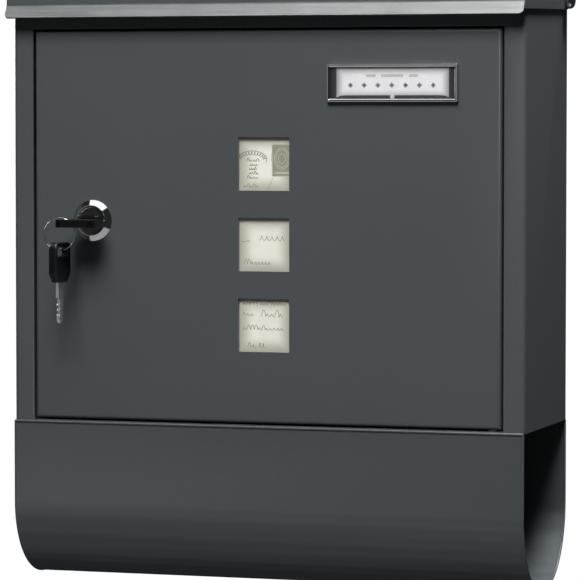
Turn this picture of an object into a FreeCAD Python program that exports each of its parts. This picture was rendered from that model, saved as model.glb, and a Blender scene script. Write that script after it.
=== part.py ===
"""Wall mounted mailbox of folded steel sheet with a newspaper holder, a hooded lid, a locked front
door with three windows and a name plate, and two keys on a ring.

Frame: +X to the right seen from the front, +Y into the wall, +Z up, millimetres. The origin is the
centre of the four wall holes on the back of the box.
"""
import FreeCAD, Part
import Sketcher
import math
import os

VALUES = {
    # box
    "box_width": 300, "box_depth": 99, "shell_height": 241, "sheet": 0.8, "corner_radius": 3,
    "wall_hole_rise": 125, "wall_hole_span": 200, "wall_hole_pitch": 120, "wall_hole_radius": 3,
    # front frame of the shell
    "frame_margin": 12.1, "sill": 0.9, "rail_height": 17.9, "frame_return": 17,
    "rail_flange": 10, "apron": 12, "rear_flange": 12, "rear_flange_gap": 12,
    # floor
    "floor_lip": 11, "drain_inset": 20, "drain_radius": 2.5,
    # newspaper holder
    "holder_drop": 91.2, "holder_flat": 10.6, "hem_radius": 0.8, "hem_rise": 0.6,
    "stud_radius": 1.5, "stud_length": 6, "stud_inset": 30, "stud_drop": 6,
    "nut_flats": 5.5, "nut_height": 2.4,
    # lid and its pivots
    "lid_gap": 0.4, "lid_reach": 7.1, "lid_roll": 6.9, "lid_fall": 2.2, "lid_face": 6.8,
    "lid_skirt": 11.7, "lid_bend": 2.2, "pivot_setback": 8, "pivot_drop": 1.7, "pivot_ear": 5.5,
    "pivot_radius": 2, "rear_notch": 3, "roll_gap": 0.8, "panel_rise": 4.5,
    "panel_inset": 0.5,
    "screw_head_radius": 4, "screw_head_height": 2.4, "spacer_radius": 5, "spacer_slack": 0.05,
    "washer_radius": 4.2, "washer_height": 0.8, "cap_radius": 4.6, "cap_height": 4.4,
    "cap_bore": 3, "button_radius": 4, "button_inset": 30, "button_setback": 6, "button_slack": 0.05,
    # handle strip
    "strip_wall": 1.2, "strip_leg": 4.6, "strip_bend": 3.6, "strip_flare": 32, "strip_drop": 7.6,
    "strip_corner": 2.6, "strip_gap": 0.1,
    # door and its hinge
    "door_gap": 1.1, "door_rim": 12, "door_edge_radius": 2, "hinge_inset": 5, "hinge_setback": 4,
    "pin_radius": 1.5, "pin_head_gap": 0.2, "pin_head_height": 1, "running_fit": 0.05,
    "hinge_washer_radius": 3.2, "washer_slack": 0.05,
    # windows
    "window_side": 29.8, "window_pitch": 45.15, "window_drop": 9.9, "pane_border": 5,
    "pane_height": 1.5, "insert_height": 0.4, "retainer_wall": 1.2, "retainer_tab": 8,
    "fixing_inset": 6,
    # name plate
    "plate_width": 75, "plate_height": 21, "plate_depth": 3, "plate_inset": 61.8,
    "plate_drop": 29.7, "plate_rim": 1.8, "plate_bevel": 0.7, "plate_fit": 0.1,
    "base_height": 0.9, "card_width": 64.3, "card_height": 15.6, "card_thickness": 0.3,
    "cover_width": 67, "cover_thickness": 0.8, "post_radius": 1.5, "post_span": 54,
    "clip_radius": 4, "clip_height": 0.6,
    # lock
    "lock_inset": 34.8, "lock_rise": 2.8, "bezel_radius": 11.7, "bezel_bore": 8.7,
    "bezel_height": 2.8, "bezel_floor": 0.6, "barrel_radius": 9.5, "barrel_fit": 0.1,
    "lock_nut_flats": 24, "lock_nut_height": 3, "plug_radius": 6.4, "plug_head_radius": 8.3,
    "plug_head_height": 1.2, "cam_gap": 0.4, "cam_height": 1.6, "cam_length": 43, "cam_width": 14,
    "tail_side": 7, "tail_fit": 0.05, "cam_screw_radius": 1.5, "cam_screw_depth": 4,
    "cam_washer_radius": 5, "cam_head_radius": 3.4, "cam_head_height": 2.2,
    "keyway_drop": 1, "keyway_fit": 0.2, "keyway_end": 2.6, "wafer_pitch": 2.2, "wafer_height": 0.9,
    "wafer_inset": 0.8, "wafer_depth": 5.6, "wafer_first": 4.5,
    # keys and ring
    "key_start": 9, "bow_length": 22.5, "bow_width": 23, "bow_height": 4.4, "bow_corner": 4,
    "bow_shoulder": 5, "slot_width": 16.6, "slot_length": 4, "slot_end": 3.5,
    "blade_length": 22.9, "blade_width": 8, "blade_tip_width": 5.6, "blade_height": 2,
    "blade_shoulder": 8.5, "tang_length": 10, "bit_depth": 1.3, "bit_pitch": 3, "bit_first": 3,
    "stem_step": 1, "tip_taper": 1.8,
    "ring_radius": 9, "wire_radius": 0.55, "ring_slack": 0.1, "hang_slack": 0.35,
}

doc = FreeCAD.newDocument("wall_mailbox")
size = doc.addObject("Spreadsheet::Sheet", "size")
for row, (alias, amount) in enumerate(VALUES.items(), start=1):
    size.set(f"A{row}", alias)
    size.set(f"B{row}", str(amount))
    size.setAlias(f"B{row}", alias)
doc.recompute()

# Places that several pieces share, as expressions of the sheet.
HALF = "(size.box_width / 2)"
INSIDE = "(size.box_width / 2 - size.sheet)"
FLANGE_X = f"({INSIDE} - size.rear_flange)"
FRONT = "(-size.box_depth)"
BASE = "(-size.wall_hole_rise)"
SHELL_TOP = f"({BASE} + size.shell_height)"
SILL = f"({BASE} + size.sill)"
OPENING_TOP = f"({SHELL_TOP} - size.rail_height)"
OPENING_HALF = f"({HALF} - size.frame_margin)"
HOLDER_BOTTOM = f"({BASE} - size.holder_drop)"
HEM_TOP = f"({BASE} + size.hem_rise)"
HOLDER_RADIUS = "((size.box_depth + 2 * size.sheet - size.holder_flat) / 2)"
STUD_XS = (f"-({HALF} - size.stud_inset)", "0", f"({HALF} - size.stud_inset)")
PIVOT_Y = "(-size.pivot_setback)"
PIVOT_Z = f"({SHELL_TOP} - size.pivot_drop)"
LID_INNER = f"({HALF} + size.lid_gap)"
LID_OUTER = f"({LID_INNER} + size.sheet)"
LID_FRONT = f"({FRONT} - size.lid_reach)"
LID_BACK_TOP = f"({PIVOT_Z} + size.lid_roll)"
LID_FRONT_TOP = f"({LID_BACK_TOP} - size.lid_fall)"
LID_EDGE = f"({LID_FRONT_TOP} - size.lid_face)"
DOOR_HALF = f"({OPENING_HALF} - size.door_gap)"
DOOR_BOTTOM = f"({SILL} + size.door_gap)"
DOOR_TOP = f"({OPENING_TOP} - size.door_gap)"
DOOR_MIDDLE = f"(({DOOR_BOTTOM} + {DOOR_TOP}) / 2)"
DOOR_BACK = f"({FRONT} + size.sheet)"
HINGE_X = f"({DOOR_HALF} - size.hinge_inset)"
HINGE_Y = f"({FRONT} + size.hinge_setback)"
PIN_HEAD = "(size.hinge_setback - 2 * size.sheet - size.pin_head_gap)"
WINDOW_MIDDLE = f"({DOOR_MIDDLE} - size.window_drop)"
PANE_HALF_X = "(size.window_side / 2 + size.pane_border)"
PANE_HALF_Z = "(size.window_pitch + size.window_side / 2 + size.pane_border)"
PANE_BACK = f"({DOOR_BACK} + size.pane_height)"
INSERT_BACK = f"({PANE_BACK} + size.insert_height)"
FIXING_X = f"({PANE_HALF_X} - size.fixing_inset)"
FIXING_Z = f"({PANE_HALF_Z} + size.retainer_wall + size.retainer_tab / 2)"
FIXINGS = [(f"{sign}{FIXING_X}", f"{WINDOW_MIDDLE} {way} {FIXING_Z}")
           for sign in ("", "-") for way in ("-", "+")]
PLATE_X = f"({DOOR_HALF} - size.plate_inset)"
PLATE_Z = f"({DOOR_TOP} - size.plate_drop)"
POST_XS = [f"{PLATE_X} {way} size.post_span / 2" for way in ("-", "+")]
LOCK_X = f"(-{DOOR_HALF} + size.lock_inset)"
LOCK_Z = f"({DOOR_MIDDLE} + size.lock_rise)"
CAM_FRONT = f"({FRONT} + size.frame_return + size.cam_gap)"
CAM_BACK = f"({CAM_FRONT} + size.cam_height)"
PLUG_BACK = f"({CAM_FRONT} - size.tail_fit)"
KEY_Z = f"({LOCK_Z} - size.keyway_drop)"
BOW_INNER = f"({FRONT} - size.key_start)"
BOW_OUTER = f"({BOW_INNER} - size.bow_length)"
SLOT_MIDDLE = f"({BOW_OUTER} + size.slot_end + size.slot_length / 2)"
RING_INNER = "(size.ring_radius - size.wire_radius)"
STRAP = "((size.bow_width - size.slot_width) / 4)"
RING_X = f"({LOCK_X} - (size.bow_width + size.slot_width) / 4)"
RING_Z = f"({KEY_Z} + size.bow_height / 2 + size.ring_slack - sqrt({RING_INNER}^2 - {STRAP}^2))"
HANG_Z = f"({RING_Z} - size.ring_radius)"
SPARE_TOP = f"({HANG_Z} + size.wire_radius + size.hang_slack + size.slot_end)"

NODES = []


def number(expression):
    """The number an expression gives with the sheet's present values."""
    return float(size.evalExpression(str(expression)))


def bind(thing, prop, expression):
    thing.setExpression(prop, str(expression))


def keep(piece, label):
    """Lists a finished sub-part under the name of its file."""
    piece.Label = label
    NODES.append(piece)
    return piece


# --- PartDesign helpers -------------------------------------------------------------------------

def new_body(label):
    return keep(doc.addObject("PartDesign::Body", label), label)


def sketch_on(body, role, offset="0"):
    """A sketch on one of the body's origin planes. XY looks along Z, YZ along X, and XZ looks
    along -Y, so its offset counts towards the front."""
    sketch = body.newObject("Sketcher::SketchObject", f"{body.Name}_sketch")
    plane = [f for f in body.Origin.OriginFeatures if f.Role == f"{role}_Plane"][0]
    sketch.AttachmentSupport = [(plane, "")]
    sketch.MapMode = "FlatFace"
    bind(sketch, "AttachmentOffset.Base.z", offset)
    return sketch


def arc_between(start, end, radius, turn):
    """The short arc from start to end; turn is 1 for anticlockwise and -1 for clockwise."""
    chord = end - start
    middle = (start + end) / 2
    across = FreeCAD.Vector(-chord.y, chord.x, 0).normalize() * turn
    rise = math.sqrt(max(radius ** 2 - (chord.Length / 2) ** 2, 0))
    centre = middle + across * rise
    first, last = (start, end) if turn > 0 else (end, start)
    begin = math.atan2(first.y - centre.y, first.x - centre.x)
    finish = math.atan2(last.y - centre.y, last.x - centre.x)
    circle = Part.Circle(centre, FreeCAD.Vector(0, 0, 1), radius)
    return Part.ArcOfCircle(circle, begin, finish)


def outline(sketch, corners):
    """A closed outline through corners (x, y), or (x, y, radius, turn) where an arc arrives."""
    places = [FreeCAD.Vector(number(c[0]), number(c[1]), 0) for c in corners]
    base = sketch.GeometryCount
    count = len(corners)
    ends = []
    for i, corner in enumerate(corners):
        start, end = places[i - 1], places[i]
        if len(corner) == 2:
            sketch.addGeometry(Part.LineSegment(start, end), False)
            ends.append((1, 2))
        else:
            sketch.addGeometry(arc_between(start, end, number(corner[2]), corner[3]), False)
            ends.append((1, 2) if corner[3] > 0 else (2, 1))
    for i, corner in enumerate(corners):
        here, after = base + i, base + (i + 1) % count
        sketch.addConstraint(Sketcher.Constraint(
            "Coincident", here, ends[i][1], after, ends[(i + 1) % count][0]))
        for kind, place, expression in (("DistanceX", places[i].x, corner[0]),
                                        ("DistanceY", places[i].y, corner[1])):
            index = sketch.addConstraint(Sketcher.Constraint(
                kind, -1, 1, here, ends[i][1], place))
            bind(sketch, f"Constraints[{index}]", expression)
        if len(corner) > 2:
            index = sketch.addConstraint(Sketcher.Constraint("Radius", here, number(corner[2])))
            bind(sketch, f"Constraints[{index}]", corner[2])


def rectangle(sketch, low_x, high_x, low_y, high_y):
    outline(sketch, [(low_x, low_y), (high_x, low_y), (high_x, high_y), (low_x, high_y)])


def circle(sketch, x, y, radius):
    centre = FreeCAD.Vector(number(x), number(y), 0)
    shape = Part.Circle(centre, FreeCAD.Vector(0, 0, 1), number(radius))
    index = sketch.addGeometry(shape, False)
    for kind, place, expression in (("DistanceX", centre.x, x), ("DistanceY", centre.y, y)):
        row = sketch.addConstraint(Sketcher.Constraint(kind, -1, 1, index, 3, place))
        bind(sketch, f"Constraints[{row}]", expression)
    row = sketch.addConstraint(Sketcher.Constraint("Radius", index, number(radius)))
    bind(sketch, f"Constraints[{row}]", radius)


def feature(body, kind, sketch, length, side="One side", reverse=False):
    made = body.newObject(f"PartDesign::{kind}", f"{body.Name}_{kind.lower()}")
    made.Profile = sketch
    made.SideType = side
    made.Reversed = reverse
    bind(made, "Length", length)
    doc.recompute()
    return made


def pad(body, sketch, length, side="One side", reverse=False):
    return feature(body, "Pad", sketch, length, side, reverse)


def pocket(body, sketch, length, side="One side", reverse=False):
    """Cuts the sketch through the length, and stops the build if nothing was cut."""
    before = body.Shape.Volume
    made = feature(body, "Pocket", sketch, length, side, reverse)
    if not made.Shape.Volume < before - 1e-6:
        raise RuntimeError(f"{made.Name} cuts nothing")
    return made


def revolve(body, sketch, role="Z_Axis"):
    made = body.newObject("PartDesign::Revolution", f"{body.Name}_turn")
    made.Profile = sketch
    axis = [f for f in body.Origin.OriginFeatures if f.Role == role][0]
    made.ReferenceAxis = (axis, [""])
    made.Angle = 360
    doc.recompute()
    return made


def round_edges(body, places, radius):
    """Fillets the edges of the body's tip that pass nearest to the given places."""
    tip = body.Tip
    names = []
    for place in places:
        vertex = Part.Vertex(FreeCAD.Vector(*[number(p) for p in place]))
        gaps = [vertex.distToShape(edge)[0] for edge in tip.Shape.Edges]
        names.append(f"Edge{gaps.index(min(gaps)) + 1}")
    made = body.newObject("PartDesign::Fillet", f"{body.Name}_round")
    made.Base = (tip, names)
    bind(made, "Radius", radius)
    doc.recompute()
    return made


# --- Part helpers for hardware ------------------------------------------------------------------

TURNS = {"X": ((0, 1, 0), 90), "Y": ((1, 0, 0), -90), "Z": ((0, 0, 1), 0),
         "-X": ((0, 1, 0), -90), "-Y": ((1, 0, 0), 90), "-Z": ((1, 0, 0), 180)}


def stand(piece, x, y, z, along="Z"):
    """Puts a primitive's base at a place, with its own axis along the given direction."""
    axis, angle = TURNS[along]
    turn = FreeCAD.Rotation(FreeCAD.Vector(*axis), angle)
    piece.Placement = FreeCAD.Placement(FreeCAD.Vector(0, 0, 0), turn)
    bind(piece, "Placement.Base.x", x)
    bind(piece, "Placement.Base.y", y)
    bind(piece, "Placement.Base.z", z)
    return piece


def rod(x, y, z, along, radius, length):
    piece = doc.addObject("Part::Cylinder", "rod")
    bind(piece, "Radius", radius)
    bind(piece, "Height", length)
    return stand(piece, x, y, z, along)


def hexagon(x, y, z, along, flats, length):
    piece = doc.addObject("Part::Prism", "hexagon")
    piece.Polygon = 6
    bind(piece, "Circumradius", f"{flats} / 2 / cos(30)")
    bind(piece, "Height", length)
    return stand(piece, x, y, z, along)


def block(low, high):
    """A box between two corners, each given as three expressions."""
    piece = doc.addObject("Part::Box", "block")
    for prop, start, end in zip(("Length", "Width", "Height"), low, high):
        bind(piece, prop, f"({end}) - ({start})")
    return stand(piece, *low)


def fuse(*pieces):
    made = doc.addObject("Part::MultiFuse", "fused")
    made.Shapes = list(pieces)
    return made


def cut(base, *tools):
    for tool in tools:
        made = doc.addObject("Part::Cut", "cut")
        made.Base, made.Tool = base, tool
        base = made
    return base


def group(*pieces):
    made = doc.addObject("Part::Compound", "group")
    made.Links = list(pieces)
    return made


# --- Housing ------------------------------------------------------------------------------------

def housing_shell():
    """Front frame and both sides, folded from one sheet, with flanges round the door opening,
    behind the front rail and at the back, and an ear at each lid pivot."""
    body = new_body("housing_shell")
    shell_blank(body)
    trim_lower_edge(body)
    trim_upper_edge(body)
    trim_rear_flanges(body)
    frame_opening(body)
    front_rail(body)
    shell_holes(body)


def shell_blank(body):
    """Front, sides and rear flanges in one bent sheet, as high as the apron, sides and ears."""
    plan = sketch_on(body, "XY", f"{BASE} - size.apron")
    back = "(-size.sheet)"
    outline(plan, [
        (f"-{HALF}", back), (f"-{HALF}", FRONT), (HALF, FRONT), (HALF, back),
        (FLANGE_X, back), (FLANGE_X, f"{back} - size.sheet"), (INSIDE, f"{back} - size.sheet"),
        (INSIDE, DOOR_BACK), (f"-{INSIDE}", DOOR_BACK), (f"-{INSIDE}", f"{back} - size.sheet"),
        (f"-{FLANGE_X}", f"{back} - size.sheet"), (f"-{FLANGE_X}", back)])
    pad(body, plan, "size.apron + size.shell_height + size.pivot_ear")
    for sign in ("", "-"):
        round_edges(body, [(f"{sign}{HALF}", FRONT, BASE)], "size.corner_radius")
        round_edges(body, [(f"{sign}{INSIDE}", DOOR_BACK, BASE)], "size.corner_radius - size.sheet")


def trim_lower_edge(body):
    """Leaves only a front apron below the base, between the two bent corners."""
    below = sketch_on(body, "YZ")
    rectangle(below, f"{FRONT} + size.corner_radius", "1", f"{BASE} - size.apron - 1", BASE)
    pocket(body, below, "size.box_width + 2", "Symmetric")
    corners = sketch_on(body, "XZ", "size.box_depth - size.corner_radius - 1")
    for sign in ("", "-"):
        rectangle(corners, f"{sign}({HALF} - size.corner_radius)", f"{sign}({HALF} + 1)",
                  f"{BASE} - size.apron - 1", BASE)
    pocket(body, corners, "size.corner_radius + 3", reverse=True)


def trim_upper_edge(body):
    """Cuts the sides level, with a round ear at each pivot and a notch behind it."""
    skyline = sketch_on(body, "YZ")
    ear_front = f"({PIVOT_Y} - sqrt(size.pivot_ear^2 - size.pivot_drop^2))"
    ear_back = f"({PIVOT_Y} + size.pivot_ear)"
    notch = f"({PIVOT_Z} - size.rear_notch)"
    over = f"({SHELL_TOP} + size.pivot_ear + 1)"
    outline(skyline, [
        (f"{FRONT} - 1", over), (f"{FRONT} - 1", SHELL_TOP), (ear_front, SHELL_TOP),
        (PIVOT_Y, f"{PIVOT_Z} + size.pivot_ear", "size.pivot_ear", -1),
        (ear_back, PIVOT_Z, "size.pivot_ear", -1), (ear_back, notch), ("1", notch), ("1", over)])
    pocket(body, skyline, "size.box_width + 2", "Symmetric")


def trim_rear_flanges(body):
    """Shortens the rear flanges, clear of the floor below and of the lid's roll above."""
    flanges = sketch_on(body, "XZ")
    top = f"({PIVOT_Z} - size.lid_roll - size.rear_notch)"
    low = f"({SILL} + size.rear_flange_gap)"
    for sign in ("", "-"):
        for start, end in ((f"{BASE} - 1", low), (top, f"{SHELL_TOP} + size.pivot_ear + 1")):
            rectangle(flanges, f"{sign}({FLANGE_X} - 1)", f"{sign}{INSIDE}", start, end)
    pocket(body, flanges, "size.sheet * 2 + 0.5", reverse=True)


def frame_opening(body):
    """Door opening, with flanges folded in along its sides and top."""
    opening = sketch_on(body, "XZ", "size.box_depth + 1")
    rectangle(opening, f"-{OPENING_HALF}", OPENING_HALF, SILL, OPENING_TOP)
    pocket(body, opening, "size.sheet + 1.5")
    returns = sketch_on(body, "XZ", "size.box_depth - size.sheet")
    outer = f"({OPENING_HALF} + size.sheet)"
    above = f"({OPENING_TOP} + size.sheet)"
    outline(returns, [
        (f"-{outer}", SILL), (f"-{OPENING_HALF}", SILL), (f"-{OPENING_HALF}", OPENING_TOP),
        (OPENING_HALF, OPENING_TOP), (OPENING_HALF, SILL), (outer, SILL), (outer, above),
        (f"-{outer}", above)])
    pad(body, returns, "size.frame_return - size.sheet", reverse=True)
    for x, z in ((f"-{OPENING_HALF}", "0"), (OPENING_HALF, "0"), ("0", OPENING_TOP)):
        round_edges(body, [(x, FRONT, z)], "size.sheet")


def front_rail(body):
    """Flange folded back along the front rail's top edge."""
    rail = sketch_on(body, "XZ", "size.box_depth - size.sheet")
    rectangle(rail, f"-({INSIDE} - size.corner_radius)", f"{INSIDE} - size.corner_radius",
              f"{SHELL_TOP} - size.sheet", SHELL_TOP)
    pad(body, rail, "size.rail_flange - size.sheet", reverse=True)
    round_edges(body, [("0", FRONT, SHELL_TOP)], "size.sheet * 0.7")


def shell_holes(body):
    """Holes for the lid's pivots, the door's upper pin and the holder's studs."""
    pivots = sketch_on(body, "YZ")
    circle(pivots, PIVOT_Y, PIVOT_Z, "size.pivot_radius")
    pocket(body, pivots, "size.box_width + 2", "Symmetric")
    pins = sketch_on(body, "XY", OPENING_TOP)
    circle(pins, HINGE_X, HINGE_Y, "size.pin_radius")
    pocket(body, pins, "size.sheet", reverse=True)
    studs = sketch_on(body, "XZ", "size.box_depth + 1")
    for x in STUD_XS:
        circle(studs, x, f"{BASE} - size.stud_drop", "size.stud_radius")
    pocket(body, studs, "size.sheet + 1.5")


def back_panel():
    """Flat back sheet with the four wall holes and three stud holes along its lower edge."""
    body = new_body("back_panel")
    face = sketch_on(body, "XZ")
    side = f"({HALF} - size.panel_inset)"
    tongue = f"({HALF} - 2 * size.hem_radius - size.panel_inset)"
    low, high = f"({BASE} - size.apron)", f"({PIVOT_Z} + size.panel_rise)"
    outline(face, [(f"-{tongue}", low), (tongue, low), (tongue, BASE), (side, BASE), (side, high),
                   (f"-{side}", high), (f"-{side}", BASE), (f"-{tongue}", BASE)])
    pad(body, face, "size.sheet")
    corners = [(f"{sign}{side}", "0", high) for sign in ("", "-")]
    corners += [(f"{sign}{tongue}", "0", low) for sign in ("", "-")]
    round_edges(body, corners, "size.corner_radius")
    holes = sketch_on(body, "XZ", "-1")
    for x in ("-size.wall_hole_span / 2", "size.wall_hole_span / 2"):
        for z in ("-size.wall_hole_pitch / 2", "size.wall_hole_pitch / 2"):
            circle(holes, x, z, "size.wall_hole_radius")
    for x in STUD_XS:
        circle(holes, x, f"{BASE} - size.stud_drop", "size.stud_radius")
    pocket(body, holes, "size.sheet + 2", reverse=True)


def floor_pan():
    """Floor of the box: side flanges turned up, front and back flanges turned down, drain holes
    and the hole for the door's lower pin."""
    body = new_body("floor_pan")
    rear = "(-size.sheet)"
    low = f"({SILL} - size.sheet)"
    section = sketch_on(body, "YZ")
    outline(section, [
        (DOOR_BACK, SILL), (DOOR_BACK, f"{BASE} - size.apron"),
        (f"{DOOR_BACK} + size.sheet", f"{BASE} - size.apron"), (f"{DOOR_BACK} + size.sheet", low),
        (f"{rear} - size.sheet", low), (f"{rear} - size.sheet", f"{BASE} - size.apron"),
        (rear, f"{BASE} - size.apron"), (rear, SILL)])
    pad(body, section, f"2 * ({INSIDE} - size.corner_radius - 1)", "Symmetric")
    wings = sketch_on(body, "XY", low)
    inner = f"({INSIDE} - size.corner_radius - 1)"
    for sign in ("", "-"):
        rectangle(wings, f"{sign}({inner} - 1)", f"{sign}{INSIDE}",
                  f"{FRONT} + size.frame_return + 1", f"{rear} - size.sheet - 1")
    pad(body, wings, "size.sheet")
    lips = sketch_on(body, "XY", SILL)
    for sign in ("", "-"):
        rectangle(lips, f"{sign}({INSIDE} - size.sheet)", f"{sign}{INSIDE}",
                  f"{FRONT} + size.frame_return + 1", f"{rear} - size.sheet - 1")
    pad(body, lips, "size.floor_lip")
    holes = sketch_on(body, "XY", f"{SILL} + 1")
    for sign in ("", "-"):
        for y in (f"{FRONT} + size.drain_inset", "-size.drain_inset"):
            circle(holes, f"{sign}({HALF} - 2 * size.drain_inset)", y, "size.drain_radius")
    circle(holes, HINGE_X, HINGE_Y, "size.pin_radius")
    pocket(body, holes, "size.sheet + 2")
    studs = sketch_on(body, "XZ", "size.box_depth + 1")
    for x in STUD_XS:
        circle(studs, x, f"{BASE} - size.stud_drop", "size.stud_radius")
    pocket(body, studs, "size.box_depth + 2")


def newspaper_holder():
    """U-shaped sheet slung round the bottom of the box, open at both ends, with a rolled bead
    along its front top edge and both side edges."""
    body = new_body("newspaper_holder")
    section = sketch_on(body, "YZ")
    out = f"({FRONT} - size.sheet)"
    bend = f"({HOLDER_BOTTOM} + {HOLDER_RADIUS})"
    inner = f"({HOLDER_RADIUS} - size.sheet)"
    hem = f"({HEM_TOP} - size.hem_radius)"
    outline(section, [
        (FRONT, hem), (out, HEM_TOP, "size.hem_radius", 1),
        (f"{out} - size.hem_radius", hem, "size.hem_radius", 1),
        (out, f"{hem} - size.hem_radius", "size.hem_radius", 1),
        (out, bend), (f"{out} + {HOLDER_RADIUS}", HOLDER_BOTTOM, HOLDER_RADIUS, 1),
        (f"size.sheet - {HOLDER_RADIUS}", HOLDER_BOTTOM),
        ("size.sheet", bend, HOLDER_RADIUS, 1), ("size.sheet", BASE), ("0", BASE),
        ("0", bend),
        (f"size.sheet - {HOLDER_RADIUS}", f"{HOLDER_BOTTOM} + size.sheet", inner, -1),
        (f"{out} + {HOLDER_RADIUS}", f"{HOLDER_BOTTOM} + size.sheet"),
        (FRONT, bend, inner, -1)])
    pad(body, section, "size.box_width - 2 * size.hem_radius", "Symmetric")
    half_sheet = "(size.sheet / 2)"
    middle = f"({HOLDER_RADIUS} - {half_sheet})"
    front_line = f"({FRONT} - {half_sheet})"
    low = f"({HOLDER_BOTTOM} + {half_sheet})"
    for sign in ("", "-"):
        path = sketch_on(body, "YZ", f"{sign}({HALF} - size.hem_radius)")
        stops = [(front_line, BASE), (front_line, bend), (f"{front_line} + {middle}", low, middle, 1),
                 (f"{half_sheet} - {middle}", low), (half_sheet, bend, middle, 1),
                 (half_sheet, BASE)]
        open_path(path, stops)
        bead = sketch_on(body, "XY", BASE)
        circle(bead, f"{sign}({HALF} - size.hem_radius)", front_line, "size.hem_radius")
        pipe = body.newObject("PartDesign::AdditivePipe", "bead_pipe")
        pipe.Profile = bead
        pipe.Spine = path
        doc.recompute()


def open_path(sketch, stops):
    """A chain of lines and arcs through stops, given as outline's corners are."""
    places = [FreeCAD.Vector(number(s[0]), number(s[1]), 0) for s in stops]
    ends = []
    for i in range(1, len(stops)):
        stop = stops[i]
        if len(stop) == 2:
            sketch.addGeometry(Part.LineSegment(places[i - 1], places[i]), False)
            ends.append((1, 2))
        else:
            shape = arc_between(places[i - 1], places[i], number(stop[2]), stop[3])
            sketch.addGeometry(shape, False)
            ends.append((1, 2) if stop[3] > 0 else (2, 1))
    for i, stop in enumerate(stops):
        edge, point = (i - 1, ends[i - 1][1]) if i else (0, ends[0][0])
        if 0 < i < len(stops) - 1:
            sketch.addConstraint(Sketcher.Constraint("Coincident", edge, point, i, ends[i][0]))
        for kind, place, expression in (("DistanceX", places[i].x, stop[0]),
                                        ("DistanceY", places[i].y, stop[1])):
            index = sketch.addConstraint(Sketcher.Constraint(kind, -1, 1, edge, point, place))
            bind(sketch, f"Constraints[{index}]", expression)
        if len(stop) > 2:
            index = sketch.addConstraint(Sketcher.Constraint("Radius", edge, number(stop[2])))
            bind(sketch, f"Constraints[{index}]", stop[2])


def holder_fixings():
    """Studs welded to the holder's walls, and the nuts that clamp shell, back and floor to it."""
    level = f"{BASE} - size.stud_drop"
    nut_front = f"({FRONT} + 2 * size.sheet)"
    nut_rear = "(-2 * size.sheet)"
    studs = [rod(x, FRONT, level, "Y", "size.stud_radius", "size.stud_length") for x in STUD_XS]
    studs += [rod(x, "0", level, "-Y", "size.stud_radius", "size.stud_length") for x in STUD_XS]
    keep(group(*studs), "holder_studs")
    nuts = []
    for x in STUD_XS:
        for y, along in ((nut_front, "Y"), (nut_rear, "-Y")):
            solid = hexagon(x, y, level, along, "size.nut_flats", "size.nut_height")
            bore = rod(x, y, level, along, "size.stud_radius", "size.nut_height")
            nuts.append(cut(solid, bore))
    keep(group(*nuts), "holder_nuts")


def lid_pivots():
    """Shoulder screws through the side ears, nylon spacers, dark washers and domed cap nuts."""
    screws, spacers, washers, caps = [], [], [], []
    for sign, along in (("", "X"), ("-", "-X")):
        at = (PIVOT_Y, PIVOT_Z, along)
        stack = f"({LID_OUTER} + 2 * size.spacer_slack)"
        cap_base = f"({stack} + size.washer_height)"
        head = rod(f"{sign}({INSIDE} - size.screw_head_height)", *at,
                   "size.screw_head_radius", "size.screw_head_height")
        shank = rod(f"{sign}{INSIDE}", *at, "size.pivot_radius",
                    f"{cap_base} + size.cap_bore - {INSIDE}")
        screws.append(fuse(head, shank))
        ring = rod(f"{sign}{HALF}", *at, "size.spacer_radius", "size.lid_gap - size.spacer_slack")
        spacers.append(cut(ring, rod(f"{sign}{HALF}", *at, "size.pivot_radius", "size.lid_gap")))
        disc = rod(f"{sign}{stack}", *at, "size.washer_radius", "size.washer_height")
        washers.append(cut(disc, rod(f"{sign}{stack}", *at, "size.pivot_radius",
                                     "size.washer_height")))
        dome_low = f"{sign}({cap_base} + size.cap_height / 3)"
        skirt = rod(f"{sign}{cap_base}", *at, "size.cap_radius", "size.cap_height / 3")
        crown = doc.addObject("Part::Ellipsoid", "crown")
        bind(crown, "Radius1", "size.cap_height * 2 / 3")
        bind(crown, "Radius2", "size.cap_radius")
        bind(crown, "Radius3", "size.cap_radius")
        crown.Angle1 = 0
        stand(crown, dome_low, *at)
        bore = rod(f"{sign}{cap_base}", *at, "size.pivot_radius", "size.cap_bore")
        caps.append(cut(fuse(skirt, crown), bore))
    keep(group(*screws), "lid_pivot_screws")
    keep(group(*spacers), "lid_pivot_spacers")
    keep(group(*washers), "lid_pivot_washers")
    keep(group(*caps), "lid_cap_nuts")


def lid_buttons():
    """Rubber buttons on the front rail that the closed lid rests on."""
    y = f"({FRONT} + size.button_setback)"
    under = f"({LID_BACK_TOP} - size.sheet - size.lid_fall * ({PIVOT_Y} - {y} + 4)"
    under += f" / ({PIVOT_Y} - {LID_FRONT}))"
    buttons = [rod(f"{sign}({HALF} - size.button_inset)", y, SHELL_TOP, "Z", "size.button_radius",
                   f"{under} - size.button_slack - {SHELL_TOP}") for sign in ("", "-")]
    keep(group(*buttons), "lid_buttons")


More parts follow.
